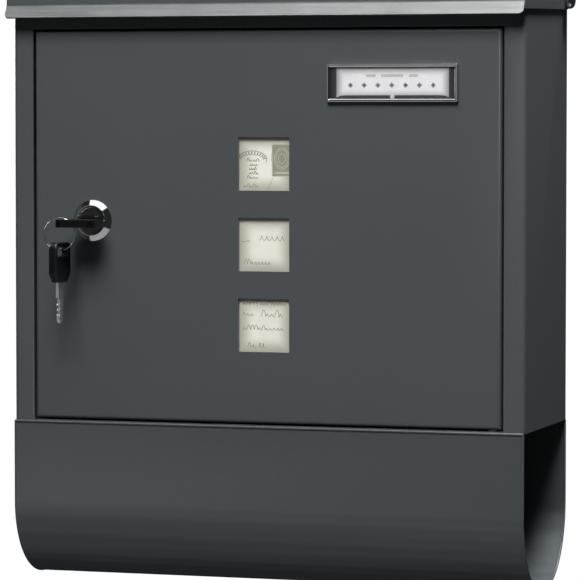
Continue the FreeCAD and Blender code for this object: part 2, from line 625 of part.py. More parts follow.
def door_hinge():
    """Pins in the frame and the floor that the door turns on, and the washers between."""
    top_pin = fuse(
        rod(HINGE_X, HINGE_Y, f"{DOOR_TOP} - 3", "Z", "size.pin_radius",
            f"{OPENING_TOP} + size.sheet - {DOOR_TOP} + 3"),
        rod(HINGE_X, HINGE_Y, f"{OPENING_TOP} + size.sheet", "Z", PIN_HEAD,
            "size.pin_head_height"))
    low_pin = fuse(
        rod(HINGE_X, HINGE_Y, f"{SILL} - size.sheet", "Z", "size.pin_radius",
            "size.sheet + size.door_gap + 3"),
        rod(HINGE_X, HINGE_Y, f"{SILL} - size.sheet", "-Z", PIN_HEAD,
            "size.pin_head_height"))
    keep(group(top_pin, low_pin), "door_hinge_pins")
    washers = []
    for z in (f"{SILL}", f"{DOOR_TOP} + size.washer_slack"):
        length = "size.door_gap - size.washer_slack"
        disc = rod(HINGE_X, HINGE_Y, z, "Z", "size.hinge_washer_radius", length)
        washers.append(cut(disc, rod(HINGE_X, HINGE_Y, z, "Z", "size.pin_radius", length)))
    keep(group(*washers), "door_hinge_washers")


# --- Lid ----------------------------------------------------------------------------------------

def lid_panel():
    """Shallow hood of one sheet: sloping top rolled over at the back, front face, and two cheeks
    outside the box that turn on the pivots."""
    body = new_body("lid_panel")
    side = sketch_on(body, "YZ")
    skirt_back = f"({LID_BACK_TOP} - size.lid_skirt)"
    skirt_front = f"({LID_FRONT_TOP} - size.lid_skirt)"
    tail = f"({PIVOT_Y} + sqrt(size.lid_roll^2 - (size.lid_skirt - size.lid_roll)^2))"
    outline(side, [
        (LID_FRONT, skirt_front), (tail, skirt_back),
        (f"{PIVOT_Y} + size.lid_roll", PIVOT_Z, "size.lid_roll", 1),
        (PIVOT_Y, LID_BACK_TOP, "size.lid_roll", 1), (LID_FRONT, LID_FRONT_TOP)])
    pad(body, side, f"2 * {LID_OUTER}", "Symmetric")
    round_edges(body, [("0", LID_FRONT, LID_FRONT_TOP)], "size.lid_bend")
    hollow = sketch_on(body, "YZ")
    inner_roll = "(size.lid_roll - size.sheet)"
    inner_front = f"({LID_FRONT} + size.sheet)"
    under = f"({skirt_front} - 2)"
    clear = f"({PIVOT_Y} + size.lid_roll + 2)"
    outline(hollow, [
        (inner_front, under), (clear, under), (clear, PIVOT_Z),
        (f"{PIVOT_Y} + {inner_roll}", PIVOT_Z),
        (PIVOT_Y, f"{PIVOT_Z} + {inner_roll}", inner_roll, 1),
        (inner_front, f"{LID_FRONT_TOP} - size.sheet")])
    pocket(body, hollow, f"2 * {LID_INNER}", "Symmetric")
    round_edges(body, [("0", inner_front, f"{LID_FRONT_TOP} - size.sheet")],
                "size.lid_bend - size.sheet")
    face = sketch_on(body, "XZ", f"-({LID_FRONT}) - size.strip_wall - size.strip_gap")
    rectangle(face, f"-{LID_OUTER} - 1", f"{LID_OUTER} + 1", under, LID_EDGE)
    pocket(body, face, "size.strip_wall + 2", reverse=True)
    slots = sketch_on(body, "XY", f"{LID_BACK_TOP} + 1")
    for sign in ("", "-"):
        rectangle(slots, f"{sign}({INSIDE} - size.roll_gap)", f"{sign}{LID_INNER}",
                  PIVOT_Y, "1")
    pocket(body, slots, "size.lid_roll + 2")
    holes = sketch_on(body, "YZ")
    circle(holes, PIVOT_Y, PIVOT_Z, "size.pivot_radius + size.running_fit")
    pocket(body, holes, f"2 * {LID_OUTER} + 2", "Symmetric")


def lid_handle_strip():
    """Aluminium strip bonded behind the lid's front edge and flared out below it as a finger lip."""
    body = new_body("lid_handle_strip")
    section = sketch_on(body, "YZ")
    seat = f"({LID_FRONT} + size.sheet)"
    wall = "size.strip_wall"
    turn = "size.strip_flare"
    bend_y = f"({LID_FRONT} - size.strip_bend * (1 - cos({turn})))"
    bend_z = f"({LID_EDGE} - size.strip_bend * sin({turn}))"
    low_z = f"({LID_EDGE} - size.strip_drop)"
    low_y = f"({bend_y} - ({bend_z} - {low_z}) * tan({turn}))"
    inner = "(size.strip_bend + size.strip_wall)"
    inner_bend_y = f"({LID_FRONT} + {wall} - {inner} * (1 - cos({turn})))"
    inner_bend_z = f"({LID_EDGE} - {inner} * sin({turn}))"
    outline(section, [
        (LID_FRONT, LID_EDGE), (bend_y, bend_z, "size.strip_bend", -1), (low_y, low_z),
        (f"{low_y} + {wall} * cos({turn})", f"{low_z} - {wall} * sin({turn})"),
        (inner_bend_y, inner_bend_z, inner, 1), (f"{LID_FRONT} + {wall}", LID_EDGE)])
    pad(body, section, f"2 * {LID_OUTER}", "Symmetric")
    ends = [(f"{sign}{LID_OUTER}", f"{low_y} + {wall} * cos({turn}) / 2",
             f"{low_z} - {wall} * sin({turn}) / 2") for sign in ("", "-")]
    round_edges(body, ends, "size.strip_corner")
    leg = sketch_on(body, "YZ")
    outline(leg, [
        (seat, f"{LID_EDGE} + size.strip_leg"), (seat, LID_EDGE), (f"{seat} - {wall} / 2", LID_EDGE),
        (f"{seat} - {wall} / 2", f"{LID_EDGE} - {wall} / 2"),
        (f"{LID_FRONT} + {wall}", f"{LID_EDGE} - {wall} / 2"),
        (f"{LID_FRONT} + {wall}", LID_EDGE), (f"{seat} + {wall}", f"{LID_EDGE} + {wall}"),
        (f"{seat} + {wall}", f"{LID_EDGE} + size.strip_leg")])
    pad(body, leg, f"2 * {LID_INNER} - 0.2", "Symmetric")


# --- Door ---------------------------------------------------------------------------------------

def door_panel():
    """Door tray with folded rims, three windows, and the holes of lock, name plate and hinge."""
    body = new_body("door_panel")
    face = sketch_on(body, "XZ", "size.box_depth")
    rectangle(face, f"-{DOOR_HALF}", DOOR_HALF, DOOR_BOTTOM, DOOR_TOP)
    pad(body, face, "size.door_rim", reverse=True)
    edges = [(f"{sign}{DOOR_HALF}", FRONT, "0") for sign in ("", "-")]
    edges += [("0", FRONT, z) for z in (DOOR_BOTTOM, DOOR_TOP)]
    round_edges(body, edges, "size.door_edge_radius")
    hollow = sketch_on(body, "XZ", "size.box_depth - size.sheet")
    rectangle(hollow, f"-{DOOR_HALF} + size.sheet", f"{DOOR_HALF} - size.sheet",
              f"{DOOR_BOTTOM} + size.sheet", f"{DOOR_TOP} - size.sheet")
    pocket(body, hollow, "size.door_rim")
    edges = [(f"{sign}({DOOR_HALF} - size.sheet)", DOOR_BACK, "0") for sign in ("", "-")]
    edges += [("0", DOOR_BACK, z) for z in (f"{DOOR_BOTTOM} + size.sheet",
                                            f"{DOOR_TOP} - size.sheet")]
    round_edges(body, edges, "size.door_edge_radius - size.sheet")
    holes = sketch_on(body, "XZ", "size.box_depth + 1")
    side = "size.window_side / 2"
    for step in (-1, 0, 1):
        middle = f"{WINDOW_MIDDLE} + {step} * size.window_pitch"
        rectangle(holes, f"-{side}", side, f"{middle} - {side}", f"{middle} + {side}")
    circle(holes, LOCK_X, LOCK_Z, "size.barrel_radius + size.barrel_fit")
    for x in POST_XS:
        circle(holes, x, PLATE_Z, "size.post_radius")
    pocket(body, holes, "size.sheet + 1.5")
    pins = sketch_on(body, "XY", f"{DOOR_TOP} + 1")
    circle(pins, HINGE_X, HINGE_Y, "size.pin_radius + size.running_fit")
    pocket(body, pins, f"{DOOR_TOP} - {DOOR_BOTTOM} + 4")


def window_glazing():
    """One clear pane over the three windows, the insert behind it, and the retainer plate."""
    low, high = f"({WINDOW_MIDDLE} - {PANE_HALF_Z})", f"({WINDOW_MIDDLE} + {PANE_HALF_Z})"
    keep(block((f"-{PANE_HALF_X}", DOOR_BACK, low), (PANE_HALF_X, PANE_BACK, high)), "window_pane")
    keep(block((f"-{PANE_HALF_X}", PANE_BACK, low), (PANE_HALF_X, INSERT_BACK, high)),
         "window_insert")
    body = new_body("window_retainer")
    plate = sketch_on(body, "XZ", f"-{DOOR_BACK}")
    out_x = f"({PANE_HALF_X} + size.retainer_wall)"
    out_z = f"({PANE_HALF_Z} + size.retainer_wall + size.retainer_tab)"
    rectangle(plate, f"-{out_x}", out_x, f"{WINDOW_MIDDLE} - {out_z}", f"{WINDOW_MIDDLE} + {out_z}")
    height = "(size.pane_height + size.insert_height)"
    pad(body, plate, f"{height} + size.retainer_wall", reverse=True)
    well = sketch_on(body, "XZ", f"-{DOOR_BACK} + 1")
    rectangle(well, f"-{PANE_HALF_X}", PANE_HALF_X, low, high)
    pocket(body, well, f"{height} + 1")
    holes = sketch_on(body, "XZ", f"-{DOOR_BACK} + 1")
    for x, z in FIXINGS:
        circle(holes, x, z, "size.stud_radius")
    pocket(body, holes, f"{height} + size.retainer_wall + 2")
    back = f"({INSERT_BACK} + size.retainer_wall)"
    studs = [rod(x, DOOR_BACK, z, "Y", "size.stud_radius",
                 f"{height} + size.retainer_wall + size.nut_height + 0.6") for x, z in FIXINGS]
    keep(group(*studs), "window_studs")
    nuts = [cut(hexagon(x, back, z, "Y", "size.nut_flats", "size.nut_height"),
                rod(x, back, z, "Y", "size.stud_radius", "size.nut_height")) for x, z in FIXINGS]
    keep(group(*nuts), "window_nuts")


def name_plate():
    """Chrome frame, black base with posts through the door, card, snap-in clear cover, clips."""
    body = new_body("name_plate_frame")
    half_x, half_z = "(size.plate_width / 2)", "(size.plate_height / 2)"
    face = sketch_on(body, "XZ", "size.box_depth")
    rectangle(face, f"{PLATE_X} - {half_x}", f"{PLATE_X} + {half_x}",
              f"{PLATE_Z} - {half_z}", f"{PLATE_Z} + {half_z}")
    pad(body, face, "size.plate_depth")
    inner_x = f"({half_x} - size.plate_rim)"
    inner_z = f"({half_z} - size.plate_rim)"
    window = sketch_on(body, "XZ", "size.box_depth - 1")
    rectangle(window, f"{PLATE_X} - {inner_x}", f"{PLATE_X} + {inner_x}",
              f"{PLATE_Z} - {inner_z}", f"{PLATE_Z} + {inner_z}")
    pocket(body, window, "size.plate_depth + 2", reverse=True)
    top = f"{FRONT} - size.plate_depth"
    places = [(f"{PLATE_X} {way} {half_x}", top, PLATE_Z) for way in ("-", "+")]
    places += [(PLATE_X, top, f"{PLATE_Z} {way} {half_z}") for way in ("-", "+")]
    round_edges(body, places, "size.plate_bevel")

    fit_x = f"({inner_x} - size.plate_fit)"
    fit_z = f"({inner_z} - size.plate_fit)"
    card_y = f"({FRONT} - size.base_height)"
    cover_y = f"({card_y} - size.card_thickness)"
    plate = block((f"{PLATE_X} - {fit_x}", card_y, f"{PLATE_Z} - {fit_z}"),
                  (f"{PLATE_X} + {fit_x}", FRONT, f"{PLATE_Z} + {fit_z}"))
    posts = [rod(x, f"{FRONT} - size.base_height / 2", PLATE_Z, "Y", "size.post_radius",
                 "size.base_height / 2 + size.sheet + size.clip_height + 1") for x in POST_XS]
    keep(fuse(plate, *posts), "name_plate_base")
    card_x, card_z = "(size.card_width / 2)", "(size.card_height / 2)"
    keep(block((f"{PLATE_X} - {card_x}", cover_y, f"{PLATE_Z} - {card_z}"),
               (f"{PLATE_X} + {card_x}", card_y, f"{PLATE_Z} + {card_z}")), "name_card")
    cover_x = "(size.cover_width / 2)"
    front_y = f"({cover_y} - size.cover_thickness)"
    cover = block((f"{PLATE_X} - {cover_x}", front_y, f"{PLATE_Z} - {fit_z}"),
                  (f"{PLATE_X} + {cover_x}", cover_y, f"{PLATE_Z} + {fit_z}"))
    nick = rod(PLATE_X, f"{front_y} - 1", f"{PLATE_Z} - {fit_z}", "Y",
               "size.plate_rim", "size.cover_thickness + 2")
    keep(cut(cover, nick), "name_plate_cover")
    clips = [cut(rod(x, DOOR_BACK, PLATE_Z, "Y", "size.clip_radius", "size.clip_height"),
                 rod(x, DOOR_BACK, PLATE_Z, "Y", "size.post_radius", "size.clip_height"))
             for x in POST_XS]
    keep(group(*clips), "name_plate_clips")


# --- Lock ---------------------------------------------------------------------------------------

def turned(body, stops):
    """Revolves an outline of (radius, height) about the body's own Z axis."""
    profile = sketch_on(body, "XZ")
    outline(profile, stops)
    revolve(body, profile)


def lock_barrel():
    """Chrome plated barrel with a conical bezel, and the nut that clamps it behind the door."""
    body = new_body("lock_barrel")
    length = "(size.frame_return + size.cam_gap - 0.1)"
    bore = "(size.plug_radius + size.running_fit)"
    turned(body, [
        (bore, "-size.bezel_floor"), (bore, length), ("size.barrel_radius", length),
        ("size.barrel_radius", "0"), ("size.bezel_radius", "0"),
        ("size.bezel_bore + 0.8", "-size.bezel_height"), ("size.bezel_bore", "-size.bezel_height"),
        ("size.bezel_bore", "-size.bezel_floor")])
    stand(body, LOCK_X, FRONT, LOCK_Z, "Y")
    nut = cut(hexagon(LOCK_X, DOOR_BACK, LOCK_Z, "Y", "size.lock_nut_flats", "size.lock_nut_height"),
              rod(LOCK_X, DOOR_BACK, LOCK_Z, "Y", "size.barrel_radius", "size.lock_nut_height"))
    keep(nut, "lock_nut")


def wafer_slots(grow):
    """The four wafers as blocks, each grown all round by a clearance."""
    blocks = []
    half = "(size.plug_radius - size.wafer_inset)"
    for count in range(4):
        y = f"{FRONT} + size.wafer_first + {count} * size.wafer_pitch"
        blocks.append(block(
            (f"{LOCK_X} - {half} - {grow}", f"{y} - {grow}",
             f"{LOCK_Z} - size.wafer_depth / 2 - {grow}"),
            (f"{LOCK_X} + {half} + {grow}", f"{y} + size.wafer_height + {grow}",
             f"{LOCK_Z} + size.wafer_depth / 2 + {grow}")))
    return blocks


def keyway(start, grow="0"):
    half_x = f"(size.blade_width / 2 + size.keyway_fit + {grow})"
    half_z = f"(size.blade_height / 2 + size.keyway_fit + {grow})"
    return block((f"{LOCK_X} - {half_x}", start, f"{KEY_Z} - {half_z}"),
                 (f"{LOCK_X} + {half_x}", f"{PLUG_BACK} - size.keyway_end", f"{KEY_Z} + {half_z}"))


def lock_plug():
    """Plug that turns in the barrel: faced head, keyway, wafer slots and a square tail."""
    head_y = f"({FRONT} - size.bezel_floor - 0.1)"
    head = rod(LOCK_X, f"{head_y} - size.plug_head_height", LOCK_Z, "Y", "size.plug_head_radius",
               "size.plug_head_height")
    shaft = rod(LOCK_X, f"{head_y} - size.plug_head_height / 2", LOCK_Z, "Y", "size.plug_radius",
                f"{PLUG_BACK} - {head_y} + size.plug_head_height / 2")
    half = "size.tail_side / 2"
    tail = block((f"{LOCK_X} - {half}", f"{PLUG_BACK} - 1", f"{LOCK_Z} - {half}"),
                 (f"{LOCK_X} + {half}", f"{CAM_BACK} - 0.1", f"{LOCK_Z} + {half}"))
    screw = rod(LOCK_X, CAM_BACK, LOCK_Z, "-Y", "size.cam_screw_radius", "size.cam_screw_depth")
    slot = keyway(f"{head_y} - size.plug_head_height - 1")
    keep(cut(fuse(head, shaft, tail), slot, screw, *wafer_slots("0.05")), "lock_plug")
    wafers = [cut(wafer, keyway(FRONT)) for wafer in wafer_slots("0")]
    keep(group(*wafers), "lock_wafers")


def lock_cam():
    """Cam on the plug's square tail, pointing up when unlocked, with its washer and screw."""
    body = new_body("lock_cam")
    face = sketch_on(body, "XZ", f"-{CAM_FRONT}")
    half = "(size.cam_width / 2)"
    tip = f"({LOCK_Z} + size.cam_length)"
    outline(face, [
        (f"{LOCK_X} - {half}", f"{LOCK_Z} - {half}"), (f"{LOCK_X} + {half}", f"{LOCK_Z} - {half}"),
        (f"{LOCK_X} + {half}", f"{tip} - 6"), (f"{LOCK_X} + {half} - 2", tip),
        (f"{LOCK_X} - {half} + 2", tip), (f"{LOCK_X} - {half}", f"{tip} - 6")])
    pad(body, face, "size.cam_height", reverse=True)
    lower = [(f"{LOCK_X} {way} {half}", f"{CAM_FRONT} + size.cam_height / 2",
              f"{LOCK_Z} - {half}") for way in ("-", "+")]
    round_edges(body, lower, f"{half} * 0.7")
    hole = sketch_on(body, "XZ", f"-{CAM_FRONT} + 1")
    grip = "(size.tail_side / 2 + size.tail_fit)"
    rectangle(hole, f"{LOCK_X} - {grip}", f"{LOCK_X} + {grip}",
              f"{LOCK_Z} - {grip}", f"{LOCK_Z} + {grip}")
    pocket(body, hole, "size.cam_height + 2")
    washer = cut(rod(LOCK_X, CAM_BACK, LOCK_Z, "Y", "size.cam_washer_radius", "size.washer_height"),
                 rod(LOCK_X, CAM_BACK, LOCK_Z, "Y", "size.cam_screw_radius", "size.washer_height"))
    keep(washer, "cam_washer")
    head_y = f"({CAM_BACK} + size.washer_height)"
    screw = fuse(
        rod(LOCK_X, head_y, LOCK_Z, "Y", "size.cam_head_radius", "size.cam_head_height"),
        rod(LOCK_X, f"{CAM_BACK} - size.cam_screw_depth", LOCK_Z, "Y", "size.cam_screw_radius",
            "size.cam_screw_depth + size.washer_height"))
    keep(screw, "cam_screw")


# --- Keys ---------------------------------------------------------------------------------------

def key_bow(label):
    """Moulded bow in its own XY plane, its outer end at the origin and its blade end along +Y,
    with the slot for the ring and the socket for the blade."""
    half = "(size.bow_width / 2)"
    shoulder = "(size.bow_length - size.bow_shoulder)"
    neck = f"({half} - size.bow_shoulder)"
    bow = new_body(label)
    face = sketch_on(bow, "XY", "-size.bow_height / 2")
    outline(face, [(f"-{half}", "0"), (half, "0"), (half, shoulder), (neck, "size.bow_length"),
                   (f"-{neck}", "size.bow_length"), (f"-{half}", shoulder)])
    pad(bow, face, "size.bow_height")
    round_edges(bow, [(f"{sign}{half}", "0", "0") for sign in ("", "-")], "size.bow_corner")
    slot = sketch_on(bow, "XY", "-size.bow_height / 2 - 1")
    wide = "(size.slot_width / 2)"
    rectangle(slot, f"-{wide}", wide, "size.slot_end", "size.slot_end + size.slot_length")
    pocket(bow, slot, "size.bow_height + 2", reverse=True)
    socket = sketch_on(bow, "XY", "-size.blade_height / 2")
    tang = "(size.blade_width / 2)"
    rectangle(socket, f"-{tang}", tang, "size.bow_length - size.tang_length", "size.bow_length + 1")
    pocket(bow, socket, "size.blade_height", reverse=True)
    return bow


def key_blade(label):
    """Blade with its tang in the bow: a wide shoulder, then a stem with bits on both edges."""
    blade = new_body(label)
    flat = sketch_on(blade, "XY", "-size.blade_height / 2")
    tang = "(size.blade_width / 2)"
    stem = "(size.blade_tip_width / 2)"
    root = "(size.bow_length - size.tang_length)"
    shoulder = "(size.bow_length + size.blade_shoulder)"
    end = "(size.bow_length + size.blade_length)"
    outline(flat, [
        (f"-{tang}", root), (tang, root), (tang, shoulder), (stem, f"{shoulder} + size.stem_step"),
        (stem, f"{end} - size.tip_taper"), (f"{stem} - size.tip_taper", end),
        (f"-{stem} + size.tip_taper", end), (f"-{stem}", f"{end} - size.tip_taper"),
        (f"-{stem}", f"{shoulder} + size.stem_step"), (f"-{tang}", shoulder)])
    pad(blade, flat, "size.blade_height")
    for sign, first in (("", "size.bit_first"), ("-", "(size.bit_first + size.bit_pitch / 3)")):
        bits = sketch_on(blade, "XY", "-size.blade_height / 2 - 1")
        for count in range(3):
            y = f"({shoulder} + {first} + {count} * size.bit_pitch)"
            outline(bits, [(f"{sign}({stem} + 1)", f"{y} - size.bit_depth - 0.6"),
                           (f"{sign}({stem} - size.bit_depth)", y),
                           (f"{sign}({stem} + 1)", f"{y} + size.bit_depth + 0.6")])
        pocket(blade, bits, "size.blade_height + 2", reverse=True)
    return blade


def place_key(pieces, x, y, z, turn=None):
    """Puts a key's pieces in place by the outer end of the bow, turned where a turn is given."""
    for piece in pieces:
        if turn:
            piece.Placement = FreeCAD.Placement(FreeCAD.Vector(0, 0, 0), turn)
        for letter, place in zip("xyz", (x, y, z)):
            bind(piece, f"Placement.Base.{letter}", place)


def keys():
    """One key in the lock, and the spare hung on the ring, blade down and faces to the sides."""
    place_key((key_blade("key_blade"), key_bow("key_bow")), LOCK_X, BOW_OUTER, KEY_Z)
    hung = FreeCAD.Rotation(FreeCAD.Vector(0, -1, 0), FreeCAD.Vector(0, 0, -1),
                            FreeCAD.Vector(1, 0, 0), "XYZ")
    place_key((key_blade("spare_key_blade"), key_bow("spare_key_bow")),
              RING_X, SLOT_MIDDLE, SPARE_TOP, hung)


def key_ring():
    ring = doc.addObject("Part::Torus", "ring")
    bind(ring, "Radius1", "size.ring_radius")
    bind(ring, "Radius2", "size.wire_radius")
    keep(stand(ring, RING_X, SLOT_MIDDLE, RING_Z, "Y"), "key_ring")


# --- Assembly -----------------------------------------------------------------------------------

housing_shell()
back_panel()
floor_pan()
newspaper_holder()
holder_fixings()
lid_pivots()
lid_buttons()
door_hinge()
lid_panel()
lid_handle_strip()
door_panel()
window_glazing()
name_plate()
lock_barrel()
lock_plug()
lock_cam()
keys()
key_ring()

doc.recompute()
failed = [o.Name for o in doc.Objects if {"Invalid", "Error"} & set(o.State)]
if failed:
    raise RuntimeError(f"objects that failed: {failed}")
for piece in NODES:
    if piece.Shape.isNull() or not piece.Shape.isValid() or not piece.Shape.Solids:
        raise RuntimeError(f"{piece.Label} has no valid shape")
os.makedirs("parts", exist_ok=True)
for piece in NODES:
    piece.Shape.exportStep(f"parts/{piece.Label}.step")
    solids = len(piece.Shape.Solids)
    print(f"{piece.Label}: {solids} solid(s), {piece.Shape.Volume:.1f} mm3")
for name, place in (("lid pivot", (PIVOT_Y, PIVOT_Z)), ("door hinge", (HINGE_X, HINGE_Y)),
                    ("lock", (LOCK_X, LOCK_Z)), ("key", (LOCK_X, KEY_Z)),
                    ("ring", (RING_X, RING_Z)), ("hang", (SLOT_MIDDLE, HANG_Z))):
    print(name, [round(number(p), 4) for p in place])
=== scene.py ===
"""Wall mounted mailbox: folded sheet steel body, hooded lid, locked door with three windows and a
name plate, keys, and an open newspaper holder slung underneath. Lengths are in metres."""
import math
import random

import bmesh
import bpy
from mathutils import Matrix, Vector


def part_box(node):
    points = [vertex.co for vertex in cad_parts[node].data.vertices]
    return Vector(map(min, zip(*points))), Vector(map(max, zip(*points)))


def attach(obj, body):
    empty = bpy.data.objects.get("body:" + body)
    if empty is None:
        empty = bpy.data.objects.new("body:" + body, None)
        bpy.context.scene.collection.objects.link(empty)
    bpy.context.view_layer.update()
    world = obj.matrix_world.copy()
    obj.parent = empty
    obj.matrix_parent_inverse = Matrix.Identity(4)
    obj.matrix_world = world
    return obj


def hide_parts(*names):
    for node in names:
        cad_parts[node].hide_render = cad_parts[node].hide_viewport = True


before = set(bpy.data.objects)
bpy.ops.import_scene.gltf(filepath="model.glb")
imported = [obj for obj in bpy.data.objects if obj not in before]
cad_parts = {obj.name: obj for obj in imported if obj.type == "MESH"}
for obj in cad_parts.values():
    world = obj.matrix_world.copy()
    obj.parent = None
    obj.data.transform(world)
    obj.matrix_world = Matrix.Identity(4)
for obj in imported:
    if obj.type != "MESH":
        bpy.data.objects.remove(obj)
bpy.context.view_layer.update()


# --- Camera ----------------------------------------------------------------------------------
# A long lens two metres from the box, a little to the right of it and level with the upper part
# of the door, turned to the left and tipped down so that the newspaper holder fills the bottom.

def in_scene(name, data):
    """A new object that holds the data, linked to the scene."""
    made = bpy.data.objects.new(name, data)
    bpy.context.scene.collection.objects.link(made)
    return made


LOOK_DOWN, LOOK_LEFT = 2.87, 17.7
camera = in_scene("camera", bpy.data.cameras.new("camera"))
camera.location = (0.6141, -1.9748, 0.0508)
camera.rotation_euler = (math.radians(90 - LOOK_DOWN), 0, math.radians(LOOK_LEFT))
camera.data.sensor_width = 36
camera.data.lens = 219.5
camera.data.clip_start = 0.1
bpy.context.scene.camera = camera


# --- Housing shell ---------------------------------------------------------------------------
# Front frame and both sides, folded from one 0.8 mm steel sheet that is laser cut round the door
# and at the lid pivots. The anthracite powder coat is sprayed on and baked, which leaves a fine
# grain; along each eased edge, where the coat is thin, a lighter copy of it paints a highlight.

MM = 0.001
CUT_EDGE = 0.2 * MM
SHARP_ANGLE = math.radians(35)


def add_node(tree, kind, x, y, **settings):
    made = tree.nodes.new(kind)
    made.location = (x, y)
    for key, value in settings.items():
        setattr(made, key, value)
    return made


def new_material(name):
    """A material with its node tree, its Principled shader and its Object coordinates."""
    material = bpy.data.materials.new(name)
    material.use_nodes = True
    tree = material.node_tree
    shader = tree.nodes["Principled BSDF"]
    place = add_node(tree, "ShaderNodeTexCoord", -1400, 0).outputs["Object"]
    return material, tree, shader, place


def noise(tree, place, per_metre, detail=3, stretch=(1, 1, 1), y=0):
    """Noise of about per_metre grains a metre, drawn out along an axis whose stretch is small."""
    mapping = add_node(tree, "ShaderNodeMapping", -1200, y)
    mapping.inputs["Scale"].default_value = stretch
    texture = add_node(tree, "ShaderNodeTexNoise", -1000, y)
    texture.inputs["Scale"].default_value = per_metre
    texture.inputs["Detail"].default_value = detail
    texture.inputs["Roughness"].default_value = 0.55
    tree.links.new(place, mapping.inputs["Vector"])
    tree.links.new(mapping.outputs["Vector"], texture.inputs["Vector"])
    return texture.outputs["Fac"]


def spread(tree, fac, low, high, y=0):
    """The middle of a noise's range, mapped to run from low to high."""
    ranged = add_node(tree, "ShaderNodeMapRange", -700, y)
    ranged.inputs["From Min"].default_value = 0.3
    ranged.inputs["From Max"].default_value = 0.7
    ranged.inputs["To Min"].default_value = low
    ranged.inputs["To Max"].default_value = high
    tree.links.new(fac, ranged.inputs["Value"])
    return ranged.outputs["Result"]


def blend_colours(tree, fac, first, second, y=300):
    """A colour that drifts between two; either may be a colour or another node's output."""
    mix = add_node(tree, "ShaderNodeMix", -400, y, data_type="RGBA")
    for socket, colour in ((mix.inputs[6], first), (mix.inputs[7], second)):
        if isinstance(colour, bpy.types.NodeSocket):
            tree.links.new(colour, socket)
        else:
            socket.default_value = (*colour, 1)
    tree.links.new(fac, mix.inputs[0])
    return mix.outputs[2]


def relief(tree, shader, fac, height, strength=1.0, y=-400, under=None):
    """Bump of the given height, over an earlier bump where there is one."""
    bump = add_node(tree, "ShaderNodeBump", -300, y)
    bump.inputs["Strength"].default_value = strength
    bump.inputs["Distance"].default_value = height
    tree.links.new(fac, bump.inputs["Height"])
    if under:
        tree.links.new(under, bump.inputs["Normal"])
    tree.links.new(bump.outputs["Normal"], shader.inputs["Normal"])
    return bump.outputs["Normal"]


def powder_coat(name, lift):
    """Anthracite powder coat; lift makes the colour lighter, to paint a highlight on an eased edge.
    """
    material, tree, shader, place = new_material(name)
    dark, middling, light = ([c * lift for c in colour] for colour in (
        (0.0500, 0.0585, 0.0620), (0.0560, 0.0650, 0.0685), (0.0640, 0.0735, 0.0775)))
    cloud = spread(tree, noise(tree, place, 9, y=600), 0, 1, y=600)
    drift = blend_colours(tree, cloud, dark, middling, y=600)
    fleck = noise(tree, place, 1900, detail=1, y=300)
    colour = blend_colours(tree, spread(tree, fleck, 0, 1, y=300), drift, light, y=300)
    tree.links.new(colour, shader.inputs["Base Color"])
    grain = noise(tree, place, 2400, detail=2, y=0)
    tree.links.new(spread(tree, grain, 0.36, 0.54, y=0), shader.inputs["Roughness"])
    waves = relief(tree, shader, noise(tree, place, 12, detail=1, y=-300), 0.0004, 0.2, y=-300)
    relief(tree, shader, grain, 0.00004, 0.55, y=-600, under=waves)
    shader.inputs["Specular IOR Level"].default_value = 0.45
    return material


coat = powder_coat("powder_coat", 1.0)
# A lighter copy of the coat for eased edges: a painted highlight over a thinner coat.
coat_edge_highlight = powder_coat("powder_coat_painted_edge_highlight", 2.4)


def fit(piece, body, slot, *nodes):
    """Hangs a piece on its body and lets it stand for its nodes, which it hides; slot is not used.
    """
    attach(piece, body)
    if nodes:
        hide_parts(*nodes)
    return piece


def plain_mesh(maker, name):
    """The evaluated mesh of a made object, as a new object at the origin; the maker goes."""
    graph = bpy.context.evaluated_depsgraph_get()
    mesh = bpy.data.meshes.new_from_object(maker.evaluated_get(graph))
    mesh.transform(maker.matrix_world)
    bpy.data.objects.remove(maker)
    mesh.name = name
    return in_scene(name, mesh)


def finished(node, name, face, edge, width, segments=2):
    """A node's folded shape with its seams merged and its sharp edges eased by width. The eased
    edges take the second material, mostly a lighter copy of the first that paints a highlight."""
    maker = in_scene(name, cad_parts[node].data.copy())
    maker.data.materials.clear()
    maker.data.materials.append(face)
    maker.data.materials.append(edge)
    shape = bmesh.new()
    shape.from_mesh(maker.data)
    bmesh.ops.remove_doubles(shape, verts=shape.verts, dist=0.002 * MM)
    bmesh.ops.dissolve_limit(shape, angle_limit=math.radians(0.6), verts=shape.verts,
                             edges=shape.edges, use_dissolve_boundaries=False)
    for part in shape.faces:
        part.smooth = True
        part.material_index = 0
    shape.to_mesh(maker.data)
    shape.free()
    maker.data.set_sharp_from_angle(angle=SHARP_ANGLE)
    bevel = maker.modifiers.new("eased", "BEVEL")
    bevel.width = width
    bevel.segments = segments
    bevel.limit_method = "ANGLE"
    bevel.angle_limit = SHARP_ANGLE
    bevel.harden_normals = True
    bevel.material = 1
    return plain_mesh(maker, name)


fit(finished("housing_shell", "shell_folded", coat, coat_edge_highlight, CUT_EDGE),
    "housing", "steel_sheet", "housing_shell")


# --- Back panel, floor and spot welds --------------------------------------------------------
# Flat back sheet and floor tray of the same steel, spot welded to the shell's flanges before
# the powder goes on. The electrodes leave shallow round marks in rows on the back.

fit(finished("back_panel", "back_sheet", coat, coat_edge_highlight, CUT_EDGE),
    "housing", "steel_sheet", "back_panel")
fit(finished("floor_pan", "floor_tray", coat, coat_edge_highlight, CUT_EDGE),
    "housing", "steel_sheet", "floor_pan")


def new_piece(name, corners, faces, material, crease=35):
    """A mesh object at the origin, smooth except over creases sharper than the angle."""
    mesh = bpy.data.meshes.new(name)
    mesh.from_pydata(corners, [], faces)
    mesh.materials.append(material)
    mesh.shade_smooth()
    mesh.set_sharp_from_angle(angle=math.radians(crease))
    return in_scene(name, mesh)


def turned_outwards(piece):
    """The same piece with all its faces made to point outwards."""
    shape = bmesh.new()
    shape.from_mesh(piece.data)
    bmesh.ops.recalc_face_normals(shape, faces=shape.faces)
    shape.to_mesh(piece.data)
    shape.free()
    return piece


